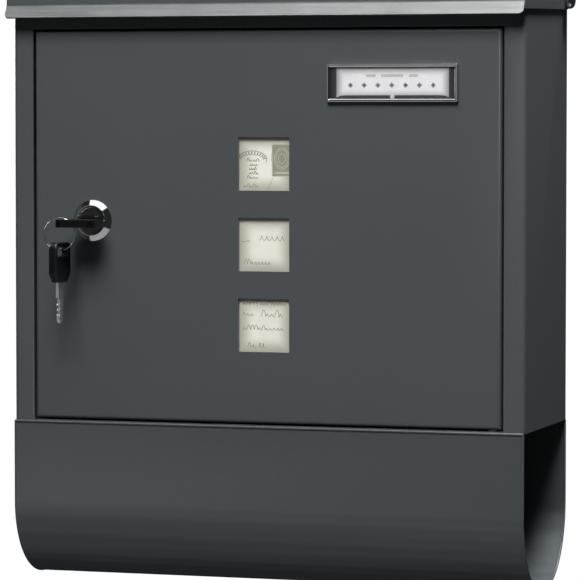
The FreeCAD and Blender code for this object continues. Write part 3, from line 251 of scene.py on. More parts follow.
def turned(name, rings, material, sides=48, flats=0, place=Matrix(), crease=35):
    """A closed turned part about Z, from rings of (radius, height) listed so that the inside is on
    their left. A ring's radius may be "hex", which runs round a hexagon of that width across its
    flats. A ring of radius 0 closes an end."""
    corners, faces, rows = [], [], []
    for radius, height in rings:
        count = 1 if radius == 0 else sides
        rows.append(range(len(corners), len(corners) + count))
        for step in range(count):
            angle = 2 * math.pi * step / sides
            to_flat = (angle % (math.pi / 3)) - math.pi / 6
            reach = flats / 2 / math.cos(to_flat) if radius == "hex" else radius
            spot = (reach * math.cos(angle), reach * math.sin(angle), height)
            corners.append(place @ Vector(spot))
    closed = len(rows[0]) > 1 and len(rows[-1]) > 1
    pairs = list(zip(rows, rows[1:])) + ([(rows[-1], rows[0])] if closed else [])
    for low, high in pairs:
        for step in range(sides):
            following = (step + 1) % sides
            if len(low) == 1:
                faces.append((low[0], high[following], high[step]))
            elif len(high) == 1:
                faces.append((low[step], low[following], high[0]))
            else:
                faces.append((low[step], low[following], high[following], high[step]))
    return turned_outwards(new_piece(name, corners, faces, material, crease))


def geometry_tree(name, inputs, output):
    """A tree with named inputs and one geometry output, with its first and last nodes."""
    tree = bpy.data.node_groups.new(name, "GeometryNodeTree")
    for label, kind in inputs:
        tree.interface.new_socket(label, in_out="INPUT", socket_type=f"NodeSocket{kind}")
    tree.interface.new_socket(output, in_out="OUTPUT", socket_type="NodeSocketGeometry")
    given = add_node(tree, "NodeGroupInput", 0, 0)
    return tree, given, add_node(tree, "NodeGroupOutput", 1200, 0)


def grown(name, start_mesh, tree, values):
    """The plain mesh that a tree makes of a starting mesh, its inputs given by name."""
    maker = in_scene(name, start_mesh)
    modifier = maker.modifiers.new(tree.name, "NODES")
    modifier.node_group = tree
    for socket in tree.interface.items_tree:
        if socket.name in values:
            modifier[socket.identifier] = values[socket.name]
    return plain_mesh(maker, name)


def parts_at_places():
    """A tree that sets a part at each place, facing one way, each with its own random twist."""
    tree, given, result = geometry_tree("parts_at_places", (
        ("Places", "Geometry"), ("Part", "Object"), ("Facing", "Vector"), ("Twist", "Float"),
        ("Seed", "Int"), ("Finish", "Material")), "Parts")
    part = add_node(tree, "GeometryNodeObjectInfo", 200, -200)
    stand = add_node(tree, "GeometryNodeInstanceOnPoints", 400, 0)
    most = add_node(tree, "ShaderNodeCombineXYZ", 200, -400)
    chance = add_node(tree, "FunctionNodeRandomValue", 400, -400, data_type="FLOAT_VECTOR")
    twist = add_node(tree, "GeometryNodeRotateInstances", 600, 0)
    real = add_node(tree, "GeometryNodeRealizeInstances", 800, 0)
    finish = add_node(tree, "GeometryNodeSetMaterial", 1000, 0)
    for start, end in (
            (given.outputs["Places"], stand.inputs["Points"]),
            (given.outputs["Part"], part.inputs["Object"]),
            (part.outputs["Geometry"], stand.inputs["Instance"]),
            (given.outputs["Facing"], stand.inputs["Rotation"]),
            (stand.outputs["Instances"], twist.inputs["Instances"]),
            (given.outputs["Twist"], most.inputs["Z"]),
            (most.outputs["Vector"], chance.inputs["Max"]),
            (given.outputs["Seed"], chance.inputs["Seed"]),
            (chance.outputs["Value"], twist.inputs["Rotation"]),
            (twist.outputs["Instances"], real.inputs["Geometry"]),
            (real.outputs["Geometry"], finish.inputs["Geometry"]),
            (given.outputs["Finish"], finish.inputs["Material"]),
            (finish.outputs["Geometry"], result.inputs["Parts"])):
        tree.links.new(start, end)
    chance.inputs["Min"].default_value = (0, 0, 0)
    return tree


REPEATS = parts_at_places()
FACE_FRONT = (math.radians(90), 0, 0)
FACE_WALL = (math.radians(-90), 0, 0)
FACE_UP = (0, 0, 0)


def repeated(name, part, places, facing, finish, twist=0.0, seed=1):
    """One plain mesh of a part set at each place; the single part it was made from goes."""
    points = bpy.data.meshes.new(name)
    points.from_pydata(places, [], [])
    piece = grown(name, points, REPEATS, {"Part": part, "Facing": facing, "Twist": twist,
                                          "Seed": seed, "Finish": finish})
    bpy.data.objects.remove(part)
    return piece


back_low, back_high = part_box("back_panel")
WELD_INSET = 6 * MM
weld_x, weld_z = back_high.x - WELD_INSET, back_low.z + WELD_INSET
weld_rows = [(sign * weld_x, back_high.y, z * MM) for sign in (-1, 1) for z in range(-104, 101, 34)]
weld_rows += [(x * MM, back_high.y, weld_z) for x in range(-96, 97, 24) if x]
weld = turned("weld", [(2.6 * MM, -0.1 * MM), (2.6 * MM, 0), (1.8 * MM, 0.11 * MM),
                       (1.3 * MM, 0.05 * MM), (0, 0.02 * MM)], coat, sides=24, crease=60)
fit(repeated("spot_welds", weld, weld_rows, FACE_WALL, coat), "housing", "steel_sheet")


# --- Newspaper holder ------------------------------------------------------------------------
# One sheet rolled into a U and bolted under the box, with the front top edge and both side edges
# rolled over into a bead so that no sharp edge is left.

fit(finished("newspaper_holder", "holder_rolled", coat, coat_edge_highlight, CUT_EDGE),
    "housing", "steel_sheet", "newspaper_holder")


# --- Holder studs and nuts -------------------------------------------------------------------
# M3 studs welded to the holder's walls, with zinc plated nuts that clamp it to the box from
# inside, three at the front and three at the back.

def metal(name, colour, roughness, per_metre, stretch=(1, 1, 1), depth=0.00001, bare=1.0):
    """Bare or plated metal whose grain is drawn out along an axis whose stretch is small; bare is
    below 1 where a dull film covers it."""
    material, tree, shader, place = new_material(name)
    grain = noise(tree, place, per_metre, detail=4, stretch=stretch, y=0)
    smudge = spread(tree, noise(tree, place, 70, detail=2, y=300), 0, 1, y=300)
    colour_out = blend_colours(tree, smudge, [c * 0.86 for c in colour], colour)
    tree.links.new(colour_out, shader.inputs["Base Color"])
    tree.links.new(spread(tree, grain, roughness * 0.75, roughness * 1.3, y=0),
                   shader.inputs["Roughness"])
    relief(tree, shader, grain, depth, 0.6)
    shader.inputs["Metallic"].default_value = bare
    return material


zinc = metal("zinc_plate", (0.52, 0.53, 0.56), 0.36, 1500)


def thread(radius, start, end, pitch=0.5 * MM, depth=0.18 * MM):
    """Rings of a screw thread from start to end, for a turned part."""
    count = int((end - start) / pitch)
    rings = []
    for step in range(count):
        rings.append((radius, start + step * pitch))
        rings.append((radius - depth, start + (step + 0.5) * pitch))
    return rings


def stud(name, radius, length, material):
    rings = [(0, 0), (radius, 0)] + thread(radius, 0.2 * MM, length - 0.6 * MM)
    rings += [(radius, length - 0.4 * MM), (radius * 0.75, length), (0, length)]
    return turned(name, rings, material, sides=20)


def nut(name, flats, height, bore, material):
    """A hexagon nut with both faces chamfered round the flats."""
    ease = height * 0.14
    rings = [(bore, 0), (flats / 2, 0), ("hex", ease), ("hex", height - ease),
             (flats / 2, height), (bore, height)]
    return turned(name, rings, material, flats=flats)


def half_way(low, high):
    """The middle of a box, as plain numbers."""
    return (low.x + high.x) / 2, (low.y + high.y) / 2, (low.z + high.z) / 2


stud_low, stud_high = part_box("holder_studs")
nut_low, nut_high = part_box("holder_nuts")
STUD_R = (stud_high.z - stud_low.z) / 2
STUD_LENGTH = 6 * MM
NUT_FLATS, NUT_HEIGHT = 5.5 * MM, 2.4 * MM
stud_z = half_way(stud_low, stud_high)[2]
stud_xs = (stud_low.x + STUD_R, 0, stud_high.x - STUD_R)
for side, facing, wall, seat in (("front", FACE_WALL, stud_low.y, nut_low.y),
                                 ("rear", FACE_FRONT, stud_high.y, nut_high.y)):
    studs = repeated(f"holder_studs_{side}", stud("stud", STUD_R, STUD_LENGTH, zinc),
                     [(x, wall, stud_z) for x in stud_xs], facing, zinc, twist=6, seed=3)
    fit(studs, "housing", "zinc_steel", "holder_studs")
    nuts = repeated(f"holder_nuts_{side}", nut("nut", NUT_FLATS, NUT_HEIGHT, STUD_R, zinc),
                    [(x, seat, stud_z) for x in stud_xs], facing, zinc, twist=6, seed=5)
    fit(nuts, "housing", "zinc_steel", "holder_nuts")


# --- Lid and handle strip --------------------------------------------------------------------
# Hood folded from coated sheet with its rear edge rolled round the pivots. A strip of brushed
# aluminium is bonded behind its front edge and flares out below it as a finger lip.

fit(finished("lid_panel", "lid_hood", coat, coat_edge_highlight, CUT_EDGE),
    "lid", "steel_sheet", "lid_panel")

BRUSHED_ALONG = (0.02, 1, 1)
satin = metal("satin_aluminium", (0.15, 0.153, 0.154), 0.42, 900, BRUSHED_ALONG, 0.000002)
# Lighter copy for the strip's eased edges: a painted highlight.
satin_edge_highlight = metal("satin_aluminium_painted_edge_highlight", (0.21, 0.213, 0.214), 0.34, 900, BRUSHED_ALONG,
                   0.000001)
fit(finished("lid_handle_strip", "handle_strip", satin, satin_edge_highlight, 0.15 * MM),
    "lid", "satin_aluminium", "lid_handle_strip")


# --- Lid pivots ------------------------------------------------------------------------------
# Shoulder screws with a hexagon socket, pushed out through the ears; nylon spacers, rubber
# washers and domed chrome cap nuts hold the lid's cheeks on them.

chrome = metal("chrome_plate", (0.84, 0.84, 0.85), 0.09, 260, depth=0.0000004)


def moulded(name, colour, roughness, grain_height, per_metre=1400, shine=0.5):
    """Moulded rubber or plastic: nearly even colour, fine spark texture, mottled gloss."""
    material, tree, shader, place = new_material(name)
    shader.inputs["Specular IOR Level"].default_value = shine
    texture = noise(tree, place, per_metre, detail=2, y=0)
    cloud = spread(tree, noise(tree, place, 110, detail=2, y=300), 0, 1, y=300)
    colour_out = blend_colours(tree, cloud, [c * 0.8 for c in colour], colour)
    tree.links.new(colour_out, shader.inputs["Base Color"])
    tree.links.new(spread(tree, texture, roughness * 0.85, roughness * 1.15, y=0),
                   shader.inputs["Roughness"])
    relief(tree, shader, texture, grain_height, 0.5)
    return material


rubber = moulded("black_rubber", (0.022, 0.022, 0.022), 0.75, 0.00004)
nylon = moulded("black_nylon", (0.030, 0.030, 0.030), 0.50, 0.00001)


def pointing(x, y, z, towards):
    """The placing of a turned part whose axis points along a direction."""
    turn = Vector(towards).to_track_quat("Z", "Y").to_matrix().to_4x4()
    return Matrix.Translation((x, y, z)) @ turn


screw_low, screw_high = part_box("lid_pivot_screws")
cap_low, cap_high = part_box("lid_cap_nuts")
washer_low, washer_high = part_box("lid_pivot_washers")
SHEET = 0.8 * MM
PIVOT_R = 2.0 * MM
HEAD_HEIGHT, SOCKET_DEPTH, SOCKET_FLATS = 2.4 * MM, 1.2 * MM, 3 * MM
WASHER_HEIGHT = 0.8 * MM
CAP_HEIGHT, CAP_BORE, CAP_EASE = 4.4 * MM, 3 * MM, 0.3 * MM
_, pivot_y, pivot_z = half_way(cap_low, cap_high)
head_r = (screw_high.z - screw_low.z) / 2
washer_r = (washer_high.z - washer_low.z) / 2
cap_r = (cap_high.z - cap_low.z) / 2
inside_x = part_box("housing_shell")[1].x - SHEET
screw_end = screw_high.x - inside_x + HEAD_HEIGHT
crown = [(cap_r * math.cos(math.radians(a)),
          CAP_HEIGHT / 3 + CAP_HEIGHT * 2 / 3 * math.sin(math.radians(a)))
         for a in range(0, 90, 6)]
for side, sign in (("right", 1), ("left", -1)):
    outward = (sign, 0, 0)
    screw = turned(f"pivot_screw_{side}", [
        (0, SOCKET_DEPTH), ("hex", SOCKET_DEPTH), ("hex", 0.1 * MM), (head_r * 0.75, 0),
        (head_r, 0.5 * MM), (head_r, HEAD_HEIGHT), (PIVOT_R, HEAD_HEIGHT),
        (PIVOT_R, screw_end), (0, screw_end)], zinc, flats=SOCKET_FLATS,
        place=pointing(sign * (inside_x - HEAD_HEIGHT), pivot_y, pivot_z, outward))
    fit(screw, "housing", "zinc_steel", "lid_pivot_screws")
    washer = turned(f"pivot_washer_{side}", [
        (PIVOT_R, 0), (washer_r, 0), (washer_r, WASHER_HEIGHT), (PIVOT_R, WASHER_HEIGHT)], rubber,
        place=pointing(sign * (washer_high.x - WASHER_HEIGHT), pivot_y, pivot_z, outward))
    fit(washer, "housing", "black_rubber", "lid_pivot_washers")
    cap = turned(f"cap_nut_{side}", [
        (PIVOT_R, CAP_BORE), (PIVOT_R, 0), (cap_r - CAP_EASE, 0), (cap_r, CAP_EASE)]
        + crown + [(0, CAP_HEIGHT)], chrome, sides=64,
        place=pointing(sign * (cap_high.x - CAP_HEIGHT), pivot_y, pivot_z, outward))
    fit(cap, "housing", "chrome", "lid_cap_nuts")


def dress(node, material):
    """Gives a node that keeps its own shape its material."""
    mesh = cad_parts[node].data
    mesh.materials.clear()
    mesh.materials.append(material)


dress("lid_pivot_spacers", nylon)


# --- Lid buttons -----------------------------------------------------------------------------
# Two moulded rubber buttons with rounded tops, glued on the front rail so that the lid closes
# without a clang.

button_low, button_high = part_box("lid_buttons")
button_r = (button_high.y - button_low.y) / 2
button_h = button_high.z - button_low.z
button = turned("button", [(0, 0), (button_r, 0), (button_r, button_h * 0.6),
                           (button_r * 0.92, button_h * 0.9), (button_r * 0.8, button_h),
                           (0, button_h)], rubber, sides=40)
button_places = [(x, half_way(button_low, button_high)[1], button_low.z)
                 for x in (button_low.x + button_r, button_high.x - button_r)]
fit(repeated("lid_buttons_domed", button, button_places, FACE_UP, rubber, twist=6, seed=2),
    "housing", "black_rubber", "lid_buttons")


# --- Door hinge ------------------------------------------------------------------------------
# Plain zinc plated pins through the frame's top rail and the floor, which the door's rims turn on,
# with black nylon washers round them.

dress("door_hinge_pins", zinc)
dress("door_hinge_washers", nylon)


# --- Door ------------------------------------------------------------------------------------
# Tray of coated sheet with its four rims folded back, pierced for the windows, the lock and the
# name plate. It hangs on the two hinge pins at its right.

fit(finished("door_panel", "door_tray", coat, coat_edge_highlight, CUT_EDGE),
    "door", "steel_sheet", "door_panel")


# --- Window pane, insert and print -----------------------------------------------------------
# One clear acrylic pane behind the three windows and a sheet of cream paper behind it, printed
# like an old envelope: a plain stamp, an empty postmark, fold lines and a few pen strokes.

def clear_plastic(name, alpha, roughness):
    """Clear plastic with faint haze and moulding waves; alpha is how much light it stops."""
    material, tree, shader, place = new_material(name)
    haze = noise(tree, place, 35, detail=2, y=0)
    tree.links.new(spread(tree, haze, roughness * 0.6, roughness * 1.5, y=0),
                   shader.inputs["Roughness"])
    tint = blend_colours(tree, spread(tree, haze, 0, 1, y=300), (0.34, 0.36, 0.36),
                         (0.42, 0.44, 0.44))
    tree.links.new(tint, shader.inputs["Base Color"])
    relief(tree, shader, haze, 0.00005, 0.2)
    shader.inputs["Alpha"].default_value = alpha
    return material


dress("window_pane", clear_plastic("clear_acrylic", 0.04, 0.06))

insert_low, insert_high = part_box("window_insert")
insert_z = half_way(insert_low, insert_high)[2]
WINDOW_PITCH = 45.15 * MM
WINDOW_HALF = 14.9 * MM
top_z, middle_z, low_z = [insert_z + step * WINDOW_PITCH for step in (1, 0, -1)]


def edge_shade_mask(tree, place, centre, half, border, pitch):
    """0 in the middle of an upright panel, rising to 1 at its edges over the width of border. The
    panel is half as wide and high as half gives, and repeats upwards at the pitch."""
    split = add_node(tree, "ShaderNodeSeparateXYZ", -2200, 800)
    tree.links.new(place, split.inputs["Vector"])
    beyond = []
    for axis, y in ((0, 900), (1, 700)):
        shift = add_node(tree, "ShaderNodeMath", -2000, y, operation="SUBTRACT")
        tree.links.new(split.outputs["XZ"[axis]], shift.inputs[0])
        shift.inputs[1].default_value = centre[axis] - 4 * pitch
        fold = add_node(tree, "ShaderNodeMath", -1800, y, operation="PINGPONG")
        tree.links.new(shift.outputs[0], fold.inputs[0])
        fold.inputs[1].default_value = pitch / 2
        past = add_node(tree, "ShaderNodeMath", -1600, y, operation="SUBTRACT")
        tree.links.new(fold.outputs[0], past.inputs[0])
        past.inputs[1].default_value = half[axis] - border
        beyond.append(past.outputs[0])
    nearer = add_node(tree, "ShaderNodeMath", -1400, 800, operation="SMOOTH_MAX")
    nearer.inputs[2].default_value = border / 2
    tree.links.new(beyond[0], nearer.inputs[0])
    tree.links.new(beyond[1], nearer.inputs[1])
    rim_shade = add_node(tree, "ShaderNodeMapRange", -1200, 800, interpolation_type="SMOOTHSTEP")
    rim_shade.inputs["From Max"].default_value = border
    tree.links.new(nearer.outputs[0], rim_shade.inputs["Value"])
    return rim_shade.outputs["Result"]


def paper(name, light, dark, centre, half, border, pitch=1.0):
    """Uncoated paper with fibres and stains, and painted shade that darkens it towards the edges of
    each panel.
    """
    material, tree, shader, place = new_material(name)
    fibre = noise(tree, place, 1300, detail=3, stretch=(1, 1, 0.3), y=0)
    stain = spread(tree, noise(tree, place, 90, detail=3, y=300), 0, 0.7, y=300)
    fresh = blend_colours(tree, stain, light, [(a * 3 + b) / 4 for a, b in zip(light, dark)])
    rim_shade = edge_shade_mask(tree, place, centre, half, border, pitch)
    tree.links.new(blend_colours(tree, rim_shade, fresh, dark, y=600), shader.inputs["Base Color"])
    tree.links.new(spread(tree, fibre, 0.75, 0.95, y=0), shader.inputs["Roughness"])
    relief(tree, shader, fibre, 0.00003, 0.4)
    return material


# The paper darkens towards the edge of each window: painted shade from the window's rim.
cream = paper("cream_paper", (0.95, 0.915, 0.82), (0.49, 0.46, 0.385), (0, insert_z),
              (WINDOW_HALF, WINDOW_HALF), 9 * MM, WINDOW_PITCH)
PAPER_FACE = insert_low.y + 0.12 * MM


def thin_sheet(name, columns, rows, corner_at, material):
    """A closed thin sheet of columns by rows. corner_at(side, across, up) gives a corner of the
    front (side 0) or the back (side 1), where across and up run from 0 to 1."""
    corners = [corner_at(side, column / columns, row / rows) for side in (0, 1)
               for row in range(rows + 1) for column in range(columns + 1)]
    layer = (rows + 1) * (columns + 1)
    faces = []
    for row in range(rows):
        for column in range(columns):
            a = row * (columns + 1) + column
            b, c, d = a + 1, a + columns + 2, a + columns + 1
            faces += [(a, b, c, d), (a + layer, d + layer, c + layer, b + layer)]
    rim = list(range(columns + 1))
    rim += [row * (columns + 1) + columns for row in range(1, rows + 1)]
    rim += [rows * (columns + 1) + column for column in range(columns - 1, -1, -1)]
    rim += [row * (columns + 1) for row in range(rows - 1, 0, -1)]
    for i, start in enumerate(rim):
        end = rim[(i + 1) % len(rim)]
        faces.append((start, start + layer, end + layer, end))
    return new_piece(name, corners, faces, material)


def insert_corner(side, across, up):
    return (insert_low.x + (insert_high.x - insert_low.x) * across,
            (PAPER_FACE, insert_high.y)[side],
            insert_low.z + (insert_high.z - insert_low.z) * up)


fit(thin_sheet("window_paper", 16, 24, insert_corner, cream),
    "door", "cream_paper", "window_insert")


def ink(name, colour, strength):
    """Old ink: its colour thins and pools along the stroke."""
    material, tree, shader, place = new_material(name)
    pool = spread(tree, noise(tree, place, 700, detail=2, y=300), 0, 1, y=300)
    pale = [c + (0.62 - c) * (1 - strength) for c in colour]
    tree.links.new(blend_colours(tree, pool, colour, pale), shader.inputs["Base Color"])
    tree.links.new(spread(tree, noise(tree, place, 2000, y=0), 0.6, 0.9, y=0),
                   shader.inputs["Roughness"])
    return material


PEN_WIDTH, FOLD_WIDTH = 0.32 * MM, 0.18 * MM
pen_ink = ink("pen_ink", (0.25, 0.20, 0.13), 0.78)
postmark_ink = ink("postmark_ink", (0.12, 0.095, 0.065), 0.88)
stamp_green = ink("stamp_green", (0.285, 0.285, 0.20), 0.92)
stamp_pale = ink("stamp_pale", (0.49, 0.50, 0.40), 0.9)


def stroke(name, path, width, material):
    """A pen stroke on the paper: a flat ribbon along a path of (x, z), sunk a little into it."""
    proud, sunk = PAPER_FACE - 0.06 * MM, PAPER_FACE + 0.02 * MM
    corners, faces = [], []
    for i, (x, z) in enumerate(path):
        before, after = Vector(path[max(i - 1, 0)]), Vector(path[min(i + 1, len(path) - 1)])
        along = (after - before).normalized()
        across = Vector((-along.y, along.x)) * width / 2
        for sign, y in ((1, proud), (-1, proud), (-1, sunk), (1, sunk)):
            corners.append((x + sign * across.x, y, z + sign * across.y))
    for i in range(len(path) - 1):
        a, b = 4 * i, 4 * i + 4
        for k in range(4):
            faces.append((a + k, a + (k + 1) % 4, b + (k + 1) % 4, b + k))
    faces.append((3, 2, 1, 0))
    faces.append(tuple(4 * (len(path) - 1) + k for k in range(4)))
    return new_piece(name, corners, faces, material)


def joined(name, pieces):
    """Several meshes as one piece, with the materials of each."""
    target = bmesh.new()
    mesh = bpy.data.meshes.new(name)
    for piece in pieces:
        for material in piece.data.materials:
            if material.name not in mesh.materials:
                mesh.materials.append(material)
        start = len(target.faces)
        target.from_mesh(piece.data)
        target.faces.ensure_lookup_table()
        for part in target.faces[start:]:
            part.material_index = mesh.materials.find(piece.data.materials[0].name)
        bpy.data.objects.remove(piece)
    bmesh.ops.recalc_face_normals(target, faces=target.faces)
    target.to_mesh(mesh)
    target.free()
    return in_scene(name, mesh)


def written(x, z, length, height, waves, seed):
    """The path of an unreadable pen line: slanted loops of changing height."""
    draw = random.Random(seed)
    tall = [draw.choice((0.35, 0.5, 1.0, 0.45)) for _ in range(waves + 1)]
    path = []
    for step in range(waves * 10 + 1):
        turn = step / 10
        lift = tall[int(turn) % len(tall)] * height
        loop, rise = math.sin(2 * math.pi * turn), 1 - math.cos(2 * math.pi * turn)
        slant = 0.25 * lift * (1 - loop) + 0.35 * height * loop / 2
        path.append((x + length * turn / waves + slant,
                     z + lift * rise / 2 - 0.1 * height * turn / waves))
    return path


def oval_point(x, z, reach, squash, degrees):
    angle = math.radians(degrees)
    return x + reach * math.cos(angle), z + squash * reach * math.sin(angle)


def oval_path(x, z, reach, squash, start=0, end=360):
    return [oval_point(x, z, reach, squash, a) for a in range(start, end + 1, 6)]


marks = []
for x, z, length, height, waves, seed in (
        (-4, middle_z / MM + 2.5, 15, 5.5, 5, 11), (-14, middle_z / MM + 1.5, 5, 0.8, 2, 12),
        (-13, middle_z / MM - 11, 16, 3.0, 8, 13), (-13.5, low_z / MM + 11.5, 27, 2.6, 13, 14),
        (-14, low_z / MM + 5.5, 7, 3.4, 3, 15), (-3, low_z / MM + 5, 13, 3.8, 5, 16),
        (-13.5, low_z / MM - 2.5, 24, 2.6, 11, 17), (-11, low_z / MM - 12, 5, 5.0, 2, 18),
        (-4.5, low_z / MM - 12, 4, 6.5, 2, 19), (-13, top_z / MM - 13, 9, 2.0, 5, 20)):
    path = written(x * MM, z * MM, length * MM, height * MM, waves, seed)
    marks.append(stroke(f"pen_{seed}", path, PEN_WIDTH, pen_ink))
fold = [(4.5, top_z / MM + 10), (3.8, top_z / MM + 2), (6.0, top_z / MM - 5),
        (1.5, top_z / MM - 14.5)]
marks.append(stroke("fold_line", [(x * MM, z * MM) for x, z in fold], FOLD_WIDTH, pen_ink))
fit(joined("pen_strokes", marks), "door", "cream_paper")

seal_x, seal_z = -7.5 * MM, top_z + 2.5 * MM
seal = []
for name, reach, start, end, squash, width in (("seal_outer", 8.6, -20, 200, 0.55, 0.3),
                                               ("seal_inner", 6.6, -10, 190, 0.40, 0.2)):
    arc = oval_path(seal_x, seal_z, reach * MM, squash, start, end)
    seal.append(stroke(name, arc, width * MM, postmark_ink))
TICK_NEAR, TICK_FAR = 6.9 * MM, 8.2 * MM
for i, angle in enumerate(range(8, 176, 14)):
    run = [oval_point(seal_x, seal_z, reach, squash, angle) for reach, squash in (
        (TICK_NEAR, 0.42), ((TICK_NEAR + TICK_FAR) / 2, 0.48), (TICK_FAR, 0.53))]
    seal.append(stroke(f"seal_tick_{i}", run, 0.5 * MM, postmark_ink))
for row in range(5):
    width = (7.5, 4.5, 4.0, 5.5, 7.0)[row] * MM
    left = seal_x - width / 2 + 0.6 * MM * (row % 2)
    path = written(left, seal_z - (1.0 + 2.4 * row) * MM, width, 1.7 * MM, 4, 30 + row)
    seal.append(stroke(f"seal_row_{row}", path, 0.34 * MM, postmark_ink))
fit(joined("empty_postmark", seal), "door", "cream_paper")


def block_print(name, low_x, high_x, low_z, high_z, lift, material, teeth=0):
    """A flat printed block on the paper, with a toothed edge where teeth is given."""
    outline = []
    corners = [(low_x, low_z), (high_x, low_z), (high_x, high_z), (low_x, high_z)]
    for (ax, az), (bx, bz) in zip(corners, corners[1:] + corners[:1]):
        run = math.hypot(bx - ax, bz - az)
        steps = max(int(run / teeth) * 4, 1) if teeth else 1
        inward = Vector((-(bz - az), bx - ax)).normalized()
        for step in range(steps):
            dent = teeth * 0.22 * (1 - math.cos(2 * math.pi * step / 4)) if teeth else 0
            outline.append((ax + (bx - ax) * step / steps + inward.x * dent,
                            az + (bz - az) * step / steps + inward.y * dent))
    count = len(outline)
    front, back = PAPER_FACE - lift, PAPER_FACE + 0.02 * MM
    points = [(x, front, z) for x, z in outline] + [(x, back, z) for x, z in outline]
    faces = [tuple(range(count)), tuple(range(2 * count - 1, count - 1, -1))]
    faces += [(i, i + count, (i + 1) % count + count, (i + 1) % count) for i in range(count)]
    return new_piece(name, points, faces, material, crease=20)


stamp_x0, stamp_x1 = 4.6 * MM, 15.4 * MM
stamp_z0, stamp_z1 = top_z - 6.6 * MM, top_z + 10.6 * MM
stamp = [block_print("stamp_edge", stamp_x0 - 0.7 * MM, stamp_x1 + 0.7 * MM, stamp_z0 - 0.7 * MM,
                     stamp_z1 + 0.7 * MM, 0.03 * MM, stamp_pale, teeth=1.1 * MM),
         block_print("stamp_field", stamp_x0, stamp_x1, stamp_z0, stamp_z1, 0.05 * MM, stamp_green),
         block_print("stamp_bar", stamp_x0 + 1.2 * MM, stamp_x1 - 1.2 * MM, stamp_z0 + 1.0 * MM,
                     stamp_z0 + 2.2 * MM, 0.07 * MM, stamp_pale)]
oval_x, oval_z = (stamp_x0 + stamp_x1) / 2, (stamp_z0 + stamp_z1) / 2 + 1.0 * MM
for i, reach in enumerate((4.4, 3.6, 2.0)):
    oval = oval_path(oval_x, oval_z, reach * MM, 1.35)
    stamp.append(stroke(f"stamp_oval_{i}", oval, 0.35 * MM, stamp_pale))
fit(joined("plain_stamp", stamp), "door", "cream_paper")


# --- Window retainer -------------------------------------------------------------------------
# Moulded black plastic plate that presses pane and paper against the door, held by nuts on four
# M3 studs that are welded to the door.

black = moulded("black_plastic", (0.024, 0.024, 0.026), 0.55, 0.00002)
# Lighter copy for the plate's eased edges: a painted highlight.
black_edge_highlight = moulded("black_plastic_painted_edge_highlight", (0.040, 0.040, 0.042), 0.45, 0.00001)
fit(finished("window_retainer", "retainer_plate", black, black_edge_highlight, 0.3 * MM),
    "door", "black_plastic", "window_retainer")

fixing_low, fixing_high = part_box("window_studs")
washer_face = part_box("window_nuts")[0].y
fixing_places = [(x, z) for x in (fixing_low.x + STUD_R, fixing_high.x - STUD_R)
                 for z in (fixing_low.z + STUD_R, fixing_high.z - STUD_R)]
window_stud = stud("window_stud", STUD_R, fixing_high.y - fixing_low.y, zinc)
fit(repeated("window_studs_threaded", window_stud, [(x, fixing_low.y, z) for x, z in fixing_places],
             FACE_WALL, zinc, twist=6, seed=7), "door", "zinc_steel", "window_studs")
window_nut = nut("window_nut", NUT_FLATS, NUT_HEIGHT, STUD_R, zinc)
fit(repeated("window_nuts_hex", window_nut, [(x, washer_face, z) for x, z in fixing_places],
             FACE_WALL, zinc, twist=6, seed=8), "door", "zinc_steel", "window_nuts")


# --- Name plate ------------------------------------------------------------------------------
# Chrome plated frame on a black base, whose two posts go through the door into push-on clips.
# A printed card lies on the base under a clear cover that snaps in and has a small pull tab.

frame_low, frame_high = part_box("name_plate_frame")
PLATE_RIM = 1.8 * MM


def framed(name, low, high, section, material):
    """A rectangular frame between two corners, from a section of (inset, y) run round it."""
    corners, faces, rows = [], [], []
    for inset, y in section:
        radius = max(0.9 * MM - inset, 0.12 * MM)
        row = []
        for x, z, start in ((high.x, high.z, 0), (low.x, high.z, 90), (low.x, low.z, 180),
                            (high.x, low.z, 270)):
            inward = inset + radius
            turn_x = x - inward if x == high.x else x + inward
            turn_z = z - inward if z == high.z else z + inward
            for step in range(5):
                angle = math.radians(start + 22.5 * step)
                row.append(len(corners))
                corners.append((turn_x + radius * math.cos(angle), y,
                                turn_z + radius * math.sin(angle)))
        rows.append(row)
    for here, there in zip(rows, rows[1:] + rows[:1]):
        for i in range(len(here)):
            k = (i + 1) % len(here)
            faces.append((here[i], here[k], there[k], there[i]))
    return turned_outwards(new_piece(name, corners, faces, material, crease=28))


FRAME_SECTION = [(0, frame_high.y), (0, frame_low.y + 0.45 * MM),
                 (0.1 * MM, frame_low.y + 0.15 * MM), (0.3 * MM, frame_low.y),
                 (1.1 * MM, frame_low.y), (1.2 * MM, frame_low.y + 0.05 * MM),
                 (PLATE_RIM, frame_low.y + 0.7 * MM), (PLATE_RIM, frame_high.y)]
fit(framed("name_frame", frame_low, frame_high, FRAME_SECTION, chrome),
    "door", "chrome", "name_plate_frame")
dress("name_plate_base", moulded("plate_black", (0.010, 0.010, 0.010), 0.60, 0.00001))
dress("name_plate_clips", zinc)

card_low, card_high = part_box("name_card")
card_x, _, card_z = half_way(card_low, card_high)
card_low.z += 0.9 * MM
card_high.z += 0.8 * MM
# The card darkens towards its edges under the frame's rim: painted shade.
card_white = paper("white_card", (0.87, 0.87, 0.88), (0.30, 0.30, 0.31), (card_x, card_z),
                   (32.6 * MM, 8.8 * MM), 5.5 * MM)
CARD_CURL = 1.1 * MM


def card_corner(side, across, up):
    """The card is flat but for its lower corners, which droop."""
    off = 2 * across - 1
    droop = CARD_CURL * abs(off) ** 22 * (1 - up) ** 2
    return (card_x + (card_high.x - card_low.x) / 2 * off,
            (card_low.y + 0.03 * MM, card_high.y - 0.05 * MM)[side],
            card_low.z + (card_high.z - card_low.z) * up - droop)


fit(thin_sheet("name_card_curled", 32, 8, card_corner, card_white),
    "door", "white_card", "name_card")

print_grey = ink("print_grey", (0.30, 0.30, 0.30), 0.95)
pale_grey = ink("pale_grey", (0.50, 0.50, 0.50), 0.95)
PRINT_HEIGHT = 0.02 * MM
print_y = card_low.y + PRINT_HEIGHT


